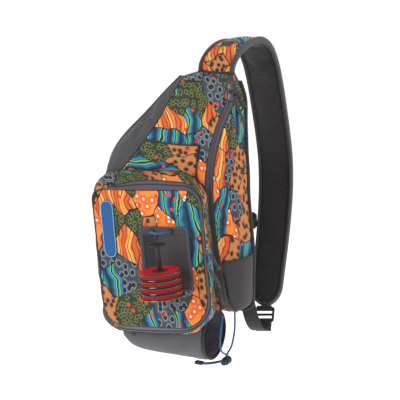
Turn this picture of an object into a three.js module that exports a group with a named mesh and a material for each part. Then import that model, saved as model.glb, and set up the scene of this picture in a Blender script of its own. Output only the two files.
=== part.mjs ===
// A fishing tackle sling bag: a tapered main compartment with a curved coated zipper, a box
// pocket on the front, a bottle sleeve under it and one wide padded shoulder strap.
// X is the wearer's side to side, -Y is the bag's front, +Z is up. Millimetres.
import * as THREE from 'three';

const V3 = THREE.Vector3;

// Driving sizes of the main compartment
const bodyWidth = 254;
const bodyHeight = 348;
const bodyDepth = 72;
const bodyBottom = 98;
const wallThickness = 2;
const backPadThickness = 8;
const backPadDrop = 8;
const backPadCorner = 14;
const wingBulge = 6;
const frontBulge = 4;
const gussetBulge = 6;
const mainZipperWidth = 12;
const floorThickness = 2;
const yokeHeight = 12.5;
const seamGap = 0.3;
const layerGap = 0.8;

// Driving sizes of the front box pocket
const pocketWidth = 182;
const pocketHeight = 214;
const pocketStandOff = 120;
const pocketTilt = 6;
const pocketCentreX = 12;
const pocketCentreZ = 188;
const pocketFaceDome = 6;
const pocketSideBulge = 5;
const pocketWall = 2;
const pocketBackWidth = 195;
const pocketBackHeight = 250;
const pocketBackTilt = 5.5;
const pocketBackShiftX = -19;
const pocketBackShiftZ = -1;
const stashTop = 356;
const stashBottom = 300;
const stashRight = 63;
const stashThickness = 2;
const sliderLength = 12;
const sliderWidth = 8;
const sliderHeight = 4.6;
const mainPullLengths = [36, 43];
const pocketPullLengths = [34, 38];

// Driving sizes of the patches
const labelWidth = 23;
const labelHeight = 88;
const labelShiftX = 24 - pocketWidth / 2;
const labelShiftZ = 46;
const labelThickness = 1.6;
const dockWidth = 83;
const dockHeight = 100;
const dockShiftX = 29;
const dockShiftZ = 1.5;
const dockBorderThickness = 2.8;
const dockWindowThickness = 1.2;
const hookPatchTop = 182;
const hookPatchThickness = 2;

// Driving sizes of the spool stack and its post
const spoolCount = 4;
const spoolDiameter = 66;
const spoolWidth = 9.2;
const spoolPitch = 10;
const spoolFlange = 1.3;
const spoolGrooveDepth = 8;
const spoolTilt = 7;
const spoolBaseZ = 147;
const spoolAxisX = 54.5;
const postDiameter = 7;
const postNeckDiameter = 3.4;
const postFlangeDiameter = 24;
const postNeckLength = 15.5;
const postRise = 37;
const runningClearance = 0.6;
const patchClearance = 1.2;
const dockCordDiameter = 3.2;
const dockEyeletSpan = 32;
const dockEyeletDrop = 6.5;

// Driving sizes of the bottle sleeve and its retention cord
const sleeveRadius = 39.5;
const sleeveWall = 2;
const sleeveLength = 146;
const sleeveMouthX = 80;
const sleeveAxisY = -50;
const sleeveBindingWidth = 4;
const sleeveBindingProud = 0.5;
const sleeveTabWidth = 7;
const sleeveTabHeight = 8;
const cordDiameter = 3;
const cordLockDiameter = 13;
const cordLockLength = 19;
const gripLength = 13;
const gripWidth = 8.5;
const gripThickness = 5;

// Driving sizes of the shoulder strap
const strapWidth = 60;
const strapThickness = 10;
const bindingWidth = 5;
const bindingThickness = 11;
const strapEndLength = 34;
const strapCrown = 1.5;
const webbingThickness = 1.6;
const lowerWebbingWidth = 25;
const stabilizerWidth = 20;
const ringWire = 2.4;
const ringWidth = 27;
const ringLength = 15;
const ringPlace = 0.105;
const buckleThickness = 3;
const buckleRim = 3.5;
const bendClearance = 0.9;
const lowerBuckleLength = 24;
const stabilizerBuckleLength = 20;

const strapCentreX = 64;
const strapReach = 165.5;
const strapDrop = 380;
const archRise = 31.1;
const archMiddleY = 75;

// The point inside the top of the strap's arch, where the bag hangs
const seat = new V3(strapCentreX, archMiddleY, bodyBottom + bodyHeight + yokeHeight + archRise);

const halfWidth = bodyWidth / 2;
const halfGap = seamGap / 2;
const backFaceY = -backPadThickness;
const sleeveAxisZ = bodyBottom - seamGap - sleeveRadius;

// Smooth value of a named column of a section table at a share of its first column
function along(rows, column, share) {
  const last = rows.length - 1;
  let i = 0;
  while (i < last - 1 && share > rows[i + 1].at) i += 1;
  const a = rows[i];
  const b = rows[i + 1];
  const span = b.at - a.at;
  const t = Math.min(1, Math.max(0, (share - a.at) / span));
  const before = rows[Math.max(0, i - 1)];
  const after = rows[Math.min(last, i + 2)];
  const slopeA = ((b[column] - before[column]) / (b.at - before.at)) * span;
  const slopeB = ((after[column] - a[column]) / (after.at - a.at)) * span;
  const t2 = t * t;
  const t3 = t2 * t;
  return (2 * t3 - 3 * t2 + 1) * a[column] + (t3 - 2 * t2 + t) * slopeA
    + (3 * t2 - 2 * t3) * b[column] + (t3 - t2) * slopeB;
}

function table(columns, rows) {
  return rows.map((row) => Object.fromEntries(columns.map((name, i) => [name, row[i]])));
}

// Sections of the main compartment. at: share of the height. left, right: back edges, shares
// of the half width. seamX, seamY: seam of the wing and the front. zipX, zipY: middle of the
// zipper. X columns are shares of the half width, Y columns of the depth.
const bodySections = table(['at', 'left', 'right', 'seamX', 'seamY', 'zipX', 'zipY', 'full'], [
  [0.00, -0.93, 0.95, -0.78, 0.76, 0.90, 0.66, 0.2],
  [0.02, -0.97, 0.98, -0.82, 0.86, 0.90, 0.80, 0.5],
  [0.05, -1.00, 1.00, -0.85, 0.92, 0.87, 0.93, 0.8],
  [0.12, -1.00, 1.00, -0.87, 0.94, 0.84, 0.99, 1.0],
  [0.24, -1.00, 1.00, -0.87, 0.94, 0.77, 1.00, 1.0],
  [0.39, -1.00, 0.96, -0.86, 0.94, 0.70, 0.99, 1.0],
  [0.50, -0.99, 0.93, -0.76, 0.94, 0.665, 0.97, 1.0],
  [0.60, -0.96, 0.92, -0.54, 0.91, 0.655, 0.95, 1.0],
  [0.70, -0.79, 0.90, -0.33, 0.83, 0.67, 0.87, 0.9],
  [0.83, -0.44, 0.885, -0.11, 0.62, 0.72, 0.66, 0.7],
  [0.93, -0.18, 0.875, 0.00, 0.42, 0.785, 0.43, 0.4],
  [1.00, 0.015, 0.815, 0.095, 0.30, 0.75, 0.28, 0.1],
]);

const BACK_RIGHT = 0;
const ZIP_RIGHT = 1;
const ZIP_LEFT = 2;
const WING_SEAM = 3;
const BACK_LEFT = 4;

function bodyCorners(share) {
  const value = (column) => along(bodySections, column, share);
  const backY = backFaceY - seamGap;
  const right = new THREE.Vector2(value('right') * halfWidth, backY);
  const left = new THREE.Vector2(value('left') * halfWidth, backY);
  const seam = new THREE.Vector2(value('seamX') * halfWidth, -value('seamY') * bodyDepth);
  const zip = new THREE.Vector2(value('zipX') * halfWidth, -value('zipY') * bodyDepth);
  const acrossZip = right.clone().sub(seam).normalize().multiplyScalar(mainZipperWidth / 2);
  return [right, zip.clone().add(acrossZip), zip.clone().sub(acrossZip), seam, left];
}

// A point of the main compartment's skin. u runs round the section from corner to corner,
// v is the share of the height.
function bodySkin(u, v) {
  const corners = bodyCorners(v);
  const side = Math.min(3, Math.max(0, Math.floor(u)));
  const f = u - side;
  const a = corners[side];
  const b = corners[side + 1];
  const chord = b.clone().sub(a);
  const out = new THREE.Vector2(-chord.y, chord.x).normalize();
  const bulge = [gussetBulge, 0, frontBulge, wingBulge][side] * along(bodySections, 'full', v);
  const swell = bulge * Math.sin(Math.PI * Math.min(1, Math.max(0, f)));
  const p = a.clone().addScaledVector(chord, f).addScaledVector(out, swell);
  return new V3(p.x, p.y, bodyBottom + v * bodyHeight);
}

// The outward normal of a surface, from points a few millimetres to each side
const probe = 2.5;

function reach(surface, u, v, du, dv) {
  return surface(u + du, v + dv).distanceTo(surface(u - du, v - dv)) / 2;
}

function normalAt(surface, u, v, range) {
  const step = 1e-3;
  const du = (probe * step) / reach(surface, u, v, step, 0);
  const dv = (probe * step) / reach(surface, u, v, 0, step);
  const clampU = (x) => Math.min(range.uMax, Math.max(range.uMin, x));
  const clampV = (x) => Math.min(range.vMax, Math.max(range.vMin, x));
  const alongU = surface(clampU(u + du), v).sub(surface(clampU(u - du), v));
  const alongV = surface(u, clampV(v + dv)).sub(surface(u, clampV(v - dv)));
  return alongV.cross(alongU).normalize().multiplyScalar(range.facing ?? 1);
}

// One closed solid from two facing grids of points, outer and inner
function solidFromGrids(outer, inner) {
  const rows = outer.length;
  const columns = outer[0].length;
  const positions = [];
  const push = (p) => positions.push(p.x, p.y, p.z);
  outer.flat().forEach(push);
  inner.flat().forEach(push);
  const half = rows * columns;
  const at = (i, j, side) => side * half + i * columns + j;
  const index = [];
  const quad = (a, b, c, d) => index.push(a, b, c, a, c, d);
  for (let i = 0; i < rows - 1; i += 1) {
    for (let j = 0; j < columns - 1; j += 1) {
      quad(at(i, j, 0), at(i, j + 1, 0), at(i + 1, j + 1, 0), at(i + 1, j, 0));
      quad(at(i, j, 1), at(i + 1, j, 1), at(i + 1, j + 1, 1), at(i, j + 1, 1));
    }
  }
  for (let j = 0; j < columns - 1; j += 1) {
    quad(at(0, j, 1), at(0, j + 1, 1), at(0, j + 1, 0), at(0, j, 0));
    quad(at(rows - 1, j, 0), at(rows - 1, j + 1, 0), at(rows - 1, j + 1, 1), at(rows - 1, j, 1));
  }
  for (let i = 0; i < rows - 1; i += 1) {
    quad(at(i, 0, 0), at(i + 1, 0, 0), at(i + 1, 0, 1), at(i, 0, 1));
    quad(at(i, columns - 1, 1), at(i + 1, columns - 1, 1), at(i + 1, columns - 1, 0),
      at(i, columns - 1, 0));
  }
  return closedGeometry(positions, index);
}

// A closed solid through rings of points, each ring with the same number of points. Its
// ends are capped, or joined to each other where it is a loop.
function solidFromRings(rings, loop = false) {
  const count = rings[0].length;
  const positions = [];
  rings.flat().forEach((p) => positions.push(p.x, p.y, p.z));
  const index = [];
  for (let i = 0; i < rings.length - (loop ? 0 : 1); i += 1) {
    for (let j = 0; j < count; j += 1) {
      const next = (j + 1) % count;
      const low = i * count;
      const high = ((i + 1) % rings.length) * count;
      index.push(low + j, low + next, high + next, low + j, high + next, high + j);
    }
  }
  if (loop) return closedGeometry(positions, index);
  const capRing = (ring, start, turned) => {
    const centre = ring.reduce((sum, p) => sum.add(p), new V3()).divideScalar(count);
    const middle = positions.length / 3;
    positions.push(centre.x, centre.y, centre.z);
    for (let j = 0; j < count; j += 1) {
      const a = start + j;
      const b = start + ((j + 1) % count);
      if (turned) index.push(middle, b, a);
      else index.push(middle, a, b);
    }
  };
  capRing(rings[0], 0, true);
  capRing(rings[rings.length - 1], (rings.length - 1) * count, false);
  return closedGeometry(positions, index);
}

// Turns the faces outward when the point order wound them inward
function closedGeometry(positions, index) {
  let volume = 0;
  const point = (i) => new V3(positions[3 * i], positions[3 * i + 1], positions[3 * i + 2]);
  for (let k = 0; k < index.length; k += 3) {
    volume += point(index[k]).dot(point(index[k + 1]).cross(point(index[k + 2])));
  }
  if (volume < 0) {
    for (let k = 0; k < index.length; k += 3) [index[k + 1], index[k + 2]] = [index[k + 2], index[k + 1]];
  }
  const geometry = new THREE.BufferGeometry();
  geometry.setAttribute('position', new THREE.Float32BufferAttribute(positions, 3));
  geometry.setIndex(index);
  return geometry;
}

function evenSteps(from, to, steps) {
  return Array.from({ length: steps + 1 }, (_, k) => THREE.MathUtils.lerp(from, to, k / steps));
}

// A panel of cloth on a surface between two values of u and two of v, clear of its
// neighbours by half a seam gap at each edge. lift raises its inner face off the surface,
// rearmost is the furthest back that it reaches, and a seated panel's last edge stays flat.
function clothPanel(surface, size) {
  const { u0, u1, v0, v1, uSteps, vSteps, thickness } = size;
  const places = size.places ?? evenSteps(u0, u1, uSteps);
  const lift = size.lift ?? -thickness;
  const range = size.range ?? { uMin: -1e9, uMax: 1e9, vMin: -1e9, vMax: 1e9 };
  const rearmost = size.rearmost ?? 1e9;
  const step = 1e-3;
  const outer = [];
  const inner = [];
  for (let i = 0; i <= vSteps; i += 1) {
    const trimLow = (halfGap * step) / reach(surface, (u0 + u1) / 2, v0 + step, 0, step);
    const trimHigh = (halfGap * step) / reach(surface, (u0 + u1) / 2, v1 - step, 0, step);
    const v = THREE.MathUtils.lerp(v0 + trimLow, v1 - trimHigh, i / vSteps);
    const trimStart = (halfGap * step) / reach(surface, u0 + step, v, step, 0);
    const trimEnd = (halfGap * step) / reach(surface, u1 - step, v, step, 0);
    const outerRow = [];
    const innerRow = [];
    for (const place of places) {
      const u = Math.min(u1 - trimEnd, Math.max(u0 + trimStart, place));
      const p = surface(u, v);
      const n = normalAt(surface, u, v, range);
      outerRow.push(p.clone().addScaledVector(n, lift + thickness));
      const under = p.clone().addScaledVector(n, lift);
      under.y = Math.min(under.y, rearmost);
      if (size.seated && i === vSteps) under.y = Math.min(under.y, p.y);
      innerRow.push(under);
    }
    outer.push(outerRow);
    inner.push(innerRow);
  }
  return solidFromGrids(outer, inner);
}

const bodyRange = { uMin: BACK_RIGHT, uMax: BACK_LEFT, vMin: 0, vMax: 1 };

function bodyPanel(from, to, uSteps, vSteps) {
  return clothPanel(bodySkin, {
    u0: from, u1: to, v0: 0, v1: 1, uSteps, vSteps, thickness: wallThickness, range: bodyRange,
    rearmost: backFaceY - seamGap,
  });
}

// The padded back: a plate with the compartment's back outline, a little longer at the bottom
function backPanelGeometry() {
  const steps = 12;
  const leftEdge = [];
  const rightEdge = [];
  for (let i = 1; i <= steps; i += 1) {
    const v = 0.04 + (0.96 * i) / steps;
    const corners = bodyCorners(v);
    leftEdge.push([corners[BACK_LEFT].x, bodyBottom + v * bodyHeight]);
    rightEdge.push([corners[BACK_RIGHT].x, bodyBottom + v * bodyHeight]);
  }
  const low = bodyBottom - backPadDrop;
  const shape = new THREE.Shape();
  shape.moveTo(-halfWidth + backPadCorner, low);
  shape.lineTo(halfWidth - backPadCorner, low);
  shape.quadraticCurveTo(halfWidth, low, halfWidth, low + backPadCorner);
  rightEdge.forEach(([x, z]) => shape.lineTo(x, z));
  leftEdge.reverse().forEach(([x, z]) => shape.lineTo(x, z));
  shape.lineTo(-halfWidth, low + backPadCorner);
  shape.quadraticCurveTo(-halfWidth, low, -halfWidth + backPadCorner, low);
  const plate = new THREE.ExtrudeGeometry(shape, {
    depth: backPadThickness, bevelEnabled: false, curveSegments: 4,
  });
  return plate.rotateX(Math.PI / 2);
}

// The floor inside the walls, and the yoke that closes the top and takes the strap
function bodyFloorGeometry() {
  const shape = new THREE.Shape();
  const inset = wallThickness + 3 * seamGap;
  const steps = 20;
  for (let j = 0; j <= steps; j += 1) {
    const u = (BACK_LEFT * j) / steps;
    const n = normalAt(bodySkin, u, 0.02, bodyRange).setZ(0).normalize();
    const p = bodySkin(u, 0).addScaledVector(n, -inset);
    p.y = Math.min(p.y, backFaceY - seamGap);
    if (j === 0) shape.moveTo(p.x, p.y);
    else shape.lineTo(p.x, p.y);
  }
  return new THREE.ExtrudeGeometry(shape, { depth: floorThickness, bevelEnabled: false })
    .translate(0, 0, bodyBottom);
}

function topYokeGeometry() {
  const outline = [];
  const steps = 16;
  for (let j = 0; j <= steps; j += 1) outline.push(bodySkin((BACK_LEFT * j) / steps, 1));
  outline.push(new V3(outline[steps].x, 0, 0));
  outline.push(new V3(outline[0].x, 0, 0));
  const minX = Math.min(...outline.map((p) => p.x));
  const maxX = Math.max(...outline.map((p) => p.x));
  const minY = Math.min(...outline.map((p) => p.y));
  const top = {
    minX: seat.x - strapWidth / 2, maxX: seat.x + strapWidth / 2, minY: strapRoot.y - strapThickness / 2,
    maxY: 0,
  };
  // rise: share of the yoke's height. narrow: how far the section has closed to the strap
  const sections = table(['rise', 'narrow'], [[0, 0], [0.3, 0.22], [0.7, 0.62], [1, 1]]);
  const rings = sections.map(({ rise, narrow }) => outline.map((p) => {
    const x = THREE.MathUtils.mapLinear(p.x, minX, maxX, top.minX, top.maxX);
    const y = THREE.MathUtils.mapLinear(p.y, minY, 0, top.minY, top.maxY);
    return new V3(
      THREE.MathUtils.lerp(p.x, x, narrow),
      THREE.MathUtils.lerp(p.y, y, narrow),
      bodyBottom + bodyHeight + seamGap + rise * (yokeHeight - seamGap),
    );
  }));
  return solidFromRings(rings);
}

// The pocket seats no further back than these shares of the depth, at its foot and above it
const pocketFootRise = 22;
const pocketFootForward = 0.96;
const leastForward = 0.8;

// How far forward the skin stands at a place on the front
function skinForward(x, z) {
  const v = THREE.MathUtils.clamp((z - bodyBottom) / bodyHeight, 0, 1);
  let body = bodySkin(BACK_LEFT, v).y;
  const samples = 28;
  for (let j = 0; j < samples; j += 1) {
    const a = bodySkin(THREE.MathUtils.lerp(ZIP_RIGHT, BACK_LEFT, j / samples), v);
    const b = bodySkin(THREE.MathUtils.lerp(ZIP_RIGHT, BACK_LEFT, (j + 1) / samples), v);
    if (x <= a.x && x >= b.x) body = THREE.MathUtils.mapLinear(x, a.x, b.x, a.y, b.y);
  }
  const aside = z - sleeveAxisZ;
  const round = (sleeveRadius + sleeveBindingProud) ** 2 - aside * aside;
  const sleeve = round > 0 ? sleeveAxisY - Math.sqrt(round) : 0;
  const share = z < bodyBottom + pocketFootRise ? pocketFootForward : leastForward;
  return Math.min(body, sleeve, -share * bodyDepth);
}

// The patch pocket on the upper front
function stashPoint(u, v) {
  const z = THREE.MathUtils.lerp(stashBottom, stashTop, v);
  const share = (z - bodyBottom) / bodyHeight;
  const seamX = bodyCorners(share)[WING_SEAM].x + 3;
  const x = THREE.MathUtils.lerp(stashRight, seamX, u);
  return new V3(x, skinForward(x, z), z);
}

function stashPanelGeometry() {
  return clothPanel(stashPoint, {
    u0: 0, u1: 1, v0: 0, v1: 1, uSteps: 6, vSteps: 5, thickness: stashThickness, lift: layerGap,
  });
}

// The extra room that the box pocket leaves for the patch pocket behind its top edge
function stashRoom(x, z) {
  const rise = THREE.MathUtils.smoothstep(z, stashBottom - 9, stashBottom - 1);
  const side = 1 - THREE.MathUtils.smoothstep(x, stashRight + 1, stashRight + 8);
  return (stashThickness + layerGap) * rise * side;
}

// A rounded outline of four sides, each from the middle of one corner to the middle of the
// next. u = 0 is the middle of the bottom left corner, then left, top, right, bottom.
function outlinePoint(outline, u) {
  const side = Math.floor(((u % 4) + 4) % 4);
  const f = ((u % 4) + 4) % 4 - side;
  const { halfW, halfH, radii } = outline;
  const corner = (k) => {
    const r = radii[k];
    const signs = [[-1, -1], [-1, 1], [1, 1], [1, -1]][k];
    return { r, x: signs[0] * (halfW - r), z: signs[1] * (halfH - r), angle: [225, 135, 45, -45][k] };
  };
  const a = corner(side);
  const b = corner((side + 1) % 4);
  const arcPoint = (c, degrees) => {
    const angle = THREE.MathUtils.degToRad(degrees);
    return [c.x + c.r * Math.cos(angle), c.z + c.r * Math.sin(angle)];
  };
  const arcShare = 0.25;
  let p;
  if (f < arcShare) p = arcPoint(a, a.angle - 45 * (f / arcShare));
  else if (f > 1 - arcShare) p = arcPoint(b, b.angle + 45 * ((1 - f) / arcShare));
  else {
    const start = arcPoint(a, a.angle - 45);
    const end = arcPoint(b, b.angle + 45);
    const t = (f - arcShare) / (1 - 2 * arcShare);
    p = [THREE.MathUtils.lerp(start[0], end[0], t), THREE.MathUtils.lerp(start[1], end[1], t)];
  }
  const tilt = THREE.MathUtils.degToRad(outline.tilt);
  return {
    x: outline.x + p[0] * Math.cos(tilt) - p[1] * Math.sin(tilt),
    z: outline.z + p[0] * Math.sin(tilt) + p[1] * Math.cos(tilt),
  };
}

// Corner radii, as shares of the outline's width: bottom left, top left, top right, bottom right
const faceOutline = {
  halfW: pocketWidth / 2, halfH: pocketHeight / 2, tilt: pocketTilt, x: pocketCentreX, z: pocketCentreZ,
  radii: [0.19, 0.1, 0.13, 0.28].map((share) => share * pocketWidth),
};
const seatOutline = {
  halfW: pocketBackWidth / 2, halfH: pocketBackHeight / 2, tilt: pocketBackTilt,
  x: pocketCentreX + pocketBackShiftX, z: pocketCentreZ + pocketBackShiftZ,
  radii: [0.2, 0.23, 0.25, 0.28].map((share) => share * pocketBackWidth),
};

// A point of the pocket's domed face, from a place in its own tilted frame
function faceSurface(a, b) {
  const tilt = THREE.MathUtils.degToRad(pocketTilt);
  const fall = (place, size) => Math.max(0, 1 - (place / (size / 2)) ** 2);
  const crown = fall(a, pocketWidth) * fall(b, pocketHeight);
  return new V3(
    pocketCentreX + a * Math.cos(tilt) - b * Math.sin(tilt),
    -pocketStandOff - pocketFaceDome * crown,
    pocketCentreZ + a * Math.sin(tilt) + b * Math.cos(tilt),
  );
}

// A point of the pocket's side wall. u runs round the outline, v from the face to the seat.
function pocketSide(u, v) {
  const face = outlinePoint(faceOutline, u);
  const back = outlinePoint(seatOutline, u);
  const middle = { x: (faceOutline.x + seatOutline.x) / 2, z: (faceOutline.z + seatOutline.z) / 2 };
  const inward = new THREE.Vector2(middle.x - back.x, middle.z - back.z).normalize();
  const skinAt = [0, pocketWall, 2 * pocketWall, 4 * pocketWall].map((step) => {
    const x = back.x + step * inward.x;
    const z = back.z + step * inward.y;
    return skinForward(x, z) - stashRoom(x, z);
  });
  const seatY = Math.min(...skinAt) - layerGap;
  const swell = pocketSideBulge * Math.sin(Math.PI * v);
  const x = THREE.MathUtils.lerp(face.x, back.x, v);
  const z = THREE.MathUtils.lerp(face.z, back.z, v);
  const out = new THREE.Vector2(x - middle.x, z - middle.z).normalize().multiplyScalar(swell);
  return new V3(x + out.x, THREE.MathUtils.lerp(-pocketStandOff, seatY, v), z + out.y);
}

// How much of the side wall the coated zipper band takes. at: place round the outline.
const bandShares = table(['at', 'share'], [
  [1.02, 0.04], [1.25, 0.26], [1.5, 0.34], [1.8, 0.22], [2.2, 0.14], [2.6, 0.13], [3.0, 0.16],
  [3.3, 0.4], [3.6, 0.6], [3.85, 0.4], [3.97, 0.08],
]);
const TOP_RIGHT = 2;
const BOTTOM_RIGHT = 3;
const topSteps = 12;
const sideSteps = 10;
const bandStart = bandShares[0].at;
const bandEnd = bandShares[bandShares.length - 1].at;

const pocketRange = { uMin: -1, uMax: 5, vMin: 0, vMax: 1, facing: -1 };

// A stretch of the side wall, between the band and the seat or over the whole depth
function pocketWallGeometry(u0, u1, uSteps, besideBand) {
  const from = (u) => (besideBand ? along(bandShares, 'share', u) : 0);
  const wall = (u, v) => pocketSide(u, THREE.MathUtils.lerp(from(u), 1, v));
  return clothPanel(wall, {
    u0, u1, v0: 0, v1: 1, uSteps, vSteps: 3, thickness: pocketWall, range: pocketRange, seated: true,
  });
}

function zipBandGeometry() {
  const band = (u, v) => pocketSide(u, v * along(bandShares, 'share', u));
  return clothPanel(band, {
    u0: bandStart, u1: bandEnd, v0: 0, v1: 1, vSteps: 2, thickness: pocketWall, range: pocketRange,
    places: [
      ...evenSteps(bandStart, TOP_RIGHT, topSteps),
      ...evenSteps(TOP_RIGHT, BOTTOM_RIGHT, sideSteps).slice(1),
      ...evenSteps(BOTTOM_RIGHT, bandEnd, topSteps).slice(1),
    ],
  });
}

// A patch on the pocket's face with a stepped relief. Rings run from its middle to its
// outline, each at a share of the outline and with its own thickness.
function facePatch(surface, outline, middle, rings, lift) {
  const outer = [];
  const inner = [];
  rings.forEach(({ share, thickness }) => {
    const outerRow = [];
    const innerRow = [];
    outline.forEach(([a, b]) => {
      const x = THREE.MathUtils.lerp(middle[0], a, share);
      const z = THREE.MathUtils.lerp(middle[1], b, share);
      const p = surface(x, z);
      outerRow.push(new V3(p.x, p.y - lift - thickness, p.z));
      innerRow.push(new V3(p.x, p.y - lift, p.z));
    });
    outer.push(outerRow);
    inner.push(innerRow);
  });
  return solidFromDiscs(outer, inner);
}

// A closed solid from two facing fans of rings around a middle
function solidFromDiscs(outer, inner) {
  const count = outer[0].length;
  const rows = outer.length;
  const positions = [];
  outer.flat().concat(inner.flat()).forEach((p) => positions.push(p.x, p.y, p.z));
  const middle = (ring) => ring.reduce((sum, p) => sum.add(p), new V3()).divideScalar(count);
  const outerMiddle = positions.length / 3;
  [middle(outer[0]), middle(inner[0])].forEach((p) => positions.push(p.x, p.y, p.z));
  const index = [];
  const at = (i, j, side) => (side * rows + i) * count + (j % count);
  for (let j = 0; j < count; j += 1) {
    index.push(outerMiddle, at(0, j, 0), at(0, j + 1, 0));
    index.push(outerMiddle + 1, at(0, j + 1, 1), at(0, j, 1));
    for (let i = 0; i < rows - 1; i += 1) {
      index.push(at(i, j, 0), at(i + 1, j, 0), at(i + 1, j + 1, 0));
      index.push(at(i, j, 0), at(i + 1, j + 1, 0), at(i, j + 1, 0));
      index.push(at(i, j, 1), at(i + 1, j + 1, 1), at(i + 1, j, 1));
      index.push(at(i, j, 1), at(i, j + 1, 1), at(i + 1, j + 1, 1));
    }
    index.push(at(rows - 1, j, 0), at(rows - 1, j, 1), at(rows - 1, j + 1, 1));
    index.push(at(rows - 1, j, 0), at(rows - 1, j + 1, 1), at(rows - 1, j + 1, 0));
  }
  return closedGeometry(positions, index);
}

function roundedOutline(width, height, radius, perCorner, shift) {
  const points = [];
  const corners = [[1, 1, 0], [-1, 1, 90], [-1, -1, 180], [1, -1, 270]];
  corners.forEach(([sx, sz, start]) => {
    for (let k = 0; k <= perCorner; k += 1) {
      const angle = THREE.MathUtils.degToRad(start + (90 * k) / perCorner);
      points.push([
        shift[0] + sx * (width / 2 - radius) + radius * Math.cos(angle),
        shift[1] + sz * (height / 2 - radius) + radius * Math.sin(angle),
      ]);
    }
  });
  return points;
}

function pocketFaceGeometry() {
  const tilt = THREE.MathUtils.degToRad(pocketTilt);
  const outline = [];
  const count = 36;
  for (let j = 0; j < count; j += 1) {
    const { x, z } = outlinePoint(faceOutline, (4 * j) / count);
    const dx = x - pocketCentreX;
    const dz = z - pocketCentreZ;
    const trim = 1 - (pocketWall + 4 * seamGap) / Math.hypot(dx, dz);
    outline.push([
      trim * (dx * Math.cos(tilt) + dz * Math.sin(tilt)),
      trim * (dz * Math.cos(tilt) - dx * Math.sin(tilt)),
    ]);
  }
  const rings = [0.25, 0.5, 0.75, 0.9, 1].map((share) => ({ share, thickness: pocketWall }));
  return facePatch(faceSurface, outline, [0, 0], rings, -pocketWall);
}

function labelPatchGeometry() {
  const shift = [labelShiftX, labelShiftZ];
  const outline = roundedOutline(labelWidth, labelHeight, labelWidth / 2.3, 3, shift);
  return facePatch(faceSurface, outline, shift, [
    { share: 0.5, thickness: labelThickness },
    { share: 0.9, thickness: labelThickness },
    { share: 1, thickness: labelThickness * 0.6 },
  ], layerGap);
}

// The dock's window sits low in its border, so the border is wider along the top
const dockMiddle = [dockShiftX, dockShiftZ - dockHeight * 0.17];

function dockPatchGeometry() {
  const outline = roundedOutline(dockWidth, dockHeight, dockWidth * 0.07, 3, [dockShiftX, dockShiftZ]);
  const window = 0.84;
  const hem = 0.01;
  return facePatch(faceSurface, outline, dockMiddle, [
    { share: 0.3, thickness: dockWindowThickness },
    { share: 0.6, thickness: dockWindowThickness },
    { share: window, thickness: dockWindowThickness },
    { share: window + hem, thickness: dockBorderThickness },
    { share: 1, thickness: dockBorderThickness },
  ], layerGap);
}

// The hook patch that covers the foot of the right gusset
function hookPatchGeometry() {
  const top = (hookPatchTop - bodyBottom) / bodyHeight;
  const margin = 0.012;
  return clothPanel(bodySkin, {
    u0: BACK_RIGHT + margin, u1: ZIP_RIGHT - margin, v0: margin, v1: top, uSteps: 4, vSteps: 6,
    thickness: hookPatchThickness, lift: seamGap, range: bodyRange,
  });
}

const turnedSides = 24;

// A round turned shape about Z. profile: pairs of radius and height, in either order.
function turned(profile, sides) {
  const points = profile.map(([radius, height]) => new THREE.Vector2(radius, height));
  if (THREE.ShapeUtils.area(points) < 0) points.reverse();
  return new THREE.LatheGeometry(points, sides).rotateX(Math.PI / 2);
}

function spoolGeometry() {
  const rim = spoolDiameter / 2;
  const bore = postDiameter / 2 + runningClearance;
  const drum = rim - spoolGrooveDepth;
  const top = spoolWidth / 2;
  const cheek = top - spoolFlange;
  return turned([
    [bore, -top], [rim, -top], [rim, -cheek], [drum, -cheek], [drum, cheek], [rim, cheek],
    [rim, top], [bore, top], [bore, -top],
  ], turnedSides);
}

const stackHeight = spoolCount * spoolPitch;

// The post in its own frame: zero at the underside of the lowest spool's place
function spoolPostGeometry() {
  const shaft = postDiameter / 2;
  const neck = postNeckDiameter / 2;
  const foot = shaft + 5;
  const footTop = (spoolPitch - spoolWidth) / 2 - seamGap;
  const flange = postFlangeDiameter / 2;
  const flangeZ = stackHeight + postRise;
  const eye = neck + 1.6;
  const top = flangeZ + postNeckLength;
  return turned([
    [0, footTop - 3], [foot, footTop - 3], [foot, footTop], [shaft, footTop], [shaft, flangeZ],
    [flange, flangeZ], [flange, flangeZ + 2], [neck, flangeZ + 2.6], [neck, top - 5],
    [eye, top - 3.5], [eye, top], [0, top],
  ], 14);
}

function dockSurfaceAt(x, z) {
  const tilt = THREE.MathUtils.degToRad(pocketTilt);
  const dx = x - pocketCentreX;
  const dz = z - pocketCentreZ;
  const along = dx * Math.cos(tilt) + dz * Math.sin(tilt);
  return faceSurface(along, dz * Math.cos(tilt) - dx * Math.sin(tilt));
}

const spoolAxisY = dockSurfaceAt(spoolAxisX, spoolBaseZ + stackHeight / 2).y - dockBorderThickness - layerGap
  - patchClearance - spoolDiameter / 2;

const spoolFrame = new THREE.Group();
spoolFrame.position.set(spoolAxisX, spoolAxisY, spoolBaseZ);
spoolFrame.rotation.y = THREE.MathUtils.degToRad(-spoolTilt);
spoolFrame.updateMatrixWorld(true);

const spoolTop = new V3(0, 0, stackHeight + postRise + postNeckLength).applyMatrix4(spoolFrame.matrix);

const cordSides = 8;

// A round cord along a curve
function cordGeometry(curve, diameter, sides, steps) {
  const circle = new THREE.Shape();
  for (let k = 0; k < sides; k += 1) {
    const angle = (2 * Math.PI * k) / sides;
    const x = (diameter / 2) * Math.cos(angle);
    const y = (diameter / 2) * Math.sin(angle);
    if (k === 0) circle.moveTo(x, y);
    else circle.lineTo(x, y);
  }
  circle.closePath();
  return new THREE.ExtrudeGeometry(circle, { steps, extrudePath: curve, bevelEnabled: false });
}

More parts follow.
